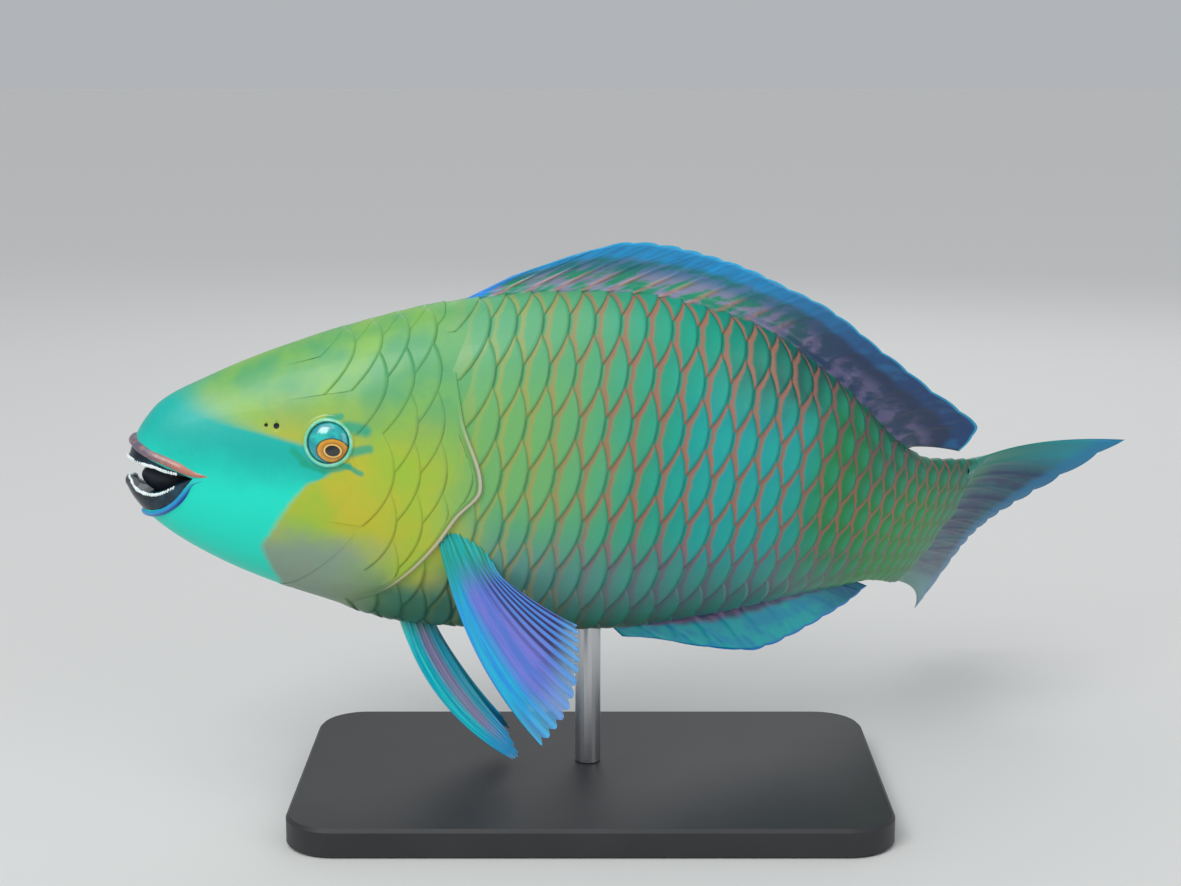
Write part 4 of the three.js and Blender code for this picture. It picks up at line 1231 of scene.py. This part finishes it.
pectoral_paint.set("Alpha", 1 - v.step(0.72, 1.0) * (1 - on_ray.step(0.3, 0.8)) * 0.5)
for face, side_name, fold in PECTORAL_FOLDS:
    pectoral = pectoral_fin("pectoral_" + side_name, face, fold)
    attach(pectoral, "root")
    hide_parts("pectoral_fin_" + side_name)

# Pelvic fins. A spine and five soft rays hang from each side of the belly, cyan with a grey lilac
# middle. They are thin cast sheets with thickened feet, bowed forwards.
PELVIC_RAYS = 6
PELVIC_FROM, PELVIC_TO = 86, 96
PELVIC_ASIDE, PELVIC_SINK = (6, 3.5), 0.3
PELVIC_FOLDS = ((1, "left", 0), (-1, "right", -1))
PELVIC_LENGTH = curve([(0, 55), (0.5, 52), (1, 42)])
PELVIC_DROP = curve([(0, 44), (0.5, 46), (1, 49)])
PELVIC_OUT = curve([(0, 12), (1, 6)])
PELVIC_BOW = curve([(0, 0.42), (1, 0.12)])


def belly_height_at(s, left):
    middle = widest_height(s)
    share = min(abs(left) / HALF_WIDTH(s), 1)
    return middle - (middle + BELLY(s)) * (1 - share ** BELLY_ROUNDNESS) ** (1 / BELLY_ROUNDNESS)


def pelvic_fin(name, face, fold):
    def root(u):
        s = PELVIC_FROM + (PELVIC_TO - PELVIC_FROM) * u
        aside = PELVIC_ASIDE[0] + (PELVIC_ASIDE[1] - PELVIC_ASIDE[0]) * u
        return body_point(s, belly_height_at(s, aside) + PELVIC_SINK, face * aside)
    place = paired_place(root, PELVIC_FROM, face, fold, PELVIC_LENGTH, PELVIC_DROP, PELVIC_OUT, PELVIC_BOW)
    return fin(name, place, spine(PELVIC_FROM)[3] * face, PELVIC_RAYS, pelvic_paint, root=3.6, foot=0.08,
               branching=0.3)


pelvic_paint, u, v, _, streaks = fin_paint("pelvic_fins", PELVIC_RAYS, 2.4, PAIRED_ROUGHNESS)
cyan = pelvic_paint.mix(streaks.step(0.4, 0.62), rgb(0, 204, 206), rgb(0, 170, 206))
grey = pelvic_paint.mix(streaks.step(0.4, 0.62), rgb(128, 146, 178), rgb(142, 128, 172))
fin_colour = pelvic_paint.mix(u.step(0.30, 0.46), cyan, grey)
fin_colour = pelvic_paint.mix(u.step(0.62, 0.8), fin_colour, rgb(0, 160, 186))
fin_colour = pelvic_paint.mix(v.step(0.70, 0.95), fin_colour, rgb(0, 150, 208))
pelvic_paint.set("Base Color", pelvic_paint.mix(1 - v.step(0.02, 0.18), fin_colour, rgb(20, 142, 118)))
for face, side_name, fold in PELVIC_FOLDS:
    pelvic = pelvic_fin("pelvic_" + side_name, face, fold)
    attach(pelvic, "root")
    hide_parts("pelvic_fin_" + side_name)

# Stand. The base is a board painted satin black. The rod is brushed steel, stands on the board and
# ends in a socket in the fish's belly. Both keep the shape of their nodes.
ROD_STEEL = (0.62, 0.63, 0.65, 1)
ROD_GRAIN = (300.0, 300.0, 6000.0)
base_paint = Paint("stand_black", roughness=0.5)
base_paint.set("Base Color", base_paint.mix(base_paint.noise(60.0, 4.0), rgb(30, 31, 34), rgb(44, 45, 48)))
base_paint.bump(base_paint.noise(900.0), 0.1)
rod_paint = Paint("stand_steel", roughness=0.3)
rod_paint.set("Metallic", 1.0)
rod_paint.set("Base Color", ROD_STEEL)
drawn_out = rod_paint.node("ShaderNodeVectorMath", {"operation": "MULTIPLY"}, {
    0: rod_paint.place(), 1: ROD_GRAIN})
rod_paint.set("Roughness", rod_paint.noise(1.0, 2.0, drawn_out) * 0.2 + 0.22)
for node, paint in (("stand_base", base_paint), ("stand_rod", rod_paint)):
    bpy.data.objects[node].material_slots[0].material = paint.material

# Floor, light and camera. A plain pale floor lies under the stand, with a soft key light above and in
# front of the head, weaker ones by the tail and behind, and an even pale surround. The camera looks
# slightly down at the left side, at the middle of the photo's frame.
FLOOR_SIZE = 16.0
FLOOR_GREY = (0.68, 0.68, 0.67, 1)
AIM = Vector((0.0, 0.0, 0.1122))
SOFT_LIGHTS = {
    "key": {"place": (-0.45, -0.75, 0.85), "size": 0.5, "power": 4.6},
    "fill": {"place": (0.8, -0.7, 0.5), "size": 0.7, "power": 2.0},
    "rim": {"place": (0.2, 0.9, 0.8), "size": 0.9, "power": 2.2}}
CEILING_POWER, CEILING_SPREAD = 0.8, math.radians(50)
CEILING_TURN = (math.radians(28), math.radians(-16), 0)
SURROUND_COLOUR, SURROUND_POWER = (0.85, 0.88, 0.92, 1), 0.52
CAMERA_DISTANCE = 0.650
CAMERA_ELEVATION = math.radians(11)
CAMERA_LENS = 65
CAMERA_SENSOR = 36
CAMERA_NEAREST = 0.01
floor_paint = Paint("pale_floor", roughness=0.9)
floor_paint.set("Base Color", FLOOR_GREY)
bm = bmesh.new()
bmesh.ops.create_grid(bm, x_segments=1, y_segments=1, size=FLOOR_SIZE / 2)
floor = new_piece("floor", bm, floor_paint.material, smooth=False)


def add_light(name, kind, power):
    data = bpy.data.lights.new(name, kind)
    data.energy = power
    light = bpy.data.objects.new(name, data)
    bpy.context.collection.objects.link(light)
    return light


for name, wanted in SOFT_LIGHTS.items():
    light = add_light(name, "AREA", wanted["power"])
    light.data.size = wanted["size"]
    light.location = wanted["place"]
    light.rotation_euler = (AIM - light.location).to_track_quat("-Z", "Y").to_euler()
ceiling = add_light("ceiling", "SUN", CEILING_POWER)
ceiling.data.angle = CEILING_SPREAD
ceiling.rotation_euler = CEILING_TURN
world = bpy.data.worlds.new("surround")
world.use_nodes = True
world.node_tree.nodes["Background"].inputs["Color"].default_value = SURROUND_COLOUR
world.node_tree.nodes["Background"].inputs["Strength"].default_value = SURROUND_POWER
bpy.context.scene.world = world
bpy.context.scene.view_settings.view_transform = "Standard"
camera_data = bpy.data.cameras.new("camera")
camera_data.lens = CAMERA_LENS
camera_data.sensor_width = CAMERA_SENSOR
camera_data.clip_start = CAMERA_NEAREST
camera = bpy.data.objects.new("camera", camera_data)
bpy.context.collection.objects.link(camera)
towards_camera = Vector((0, -math.cos(CAMERA_ELEVATION), math.sin(CAMERA_ELEVATION)))
camera.location = AIM + CAMERA_DISTANCE * towards_camera
camera.rotation_euler = (math.pi / 2 - CAMERA_ELEVATION, 0, 0)
bpy.context.scene.camera = camera
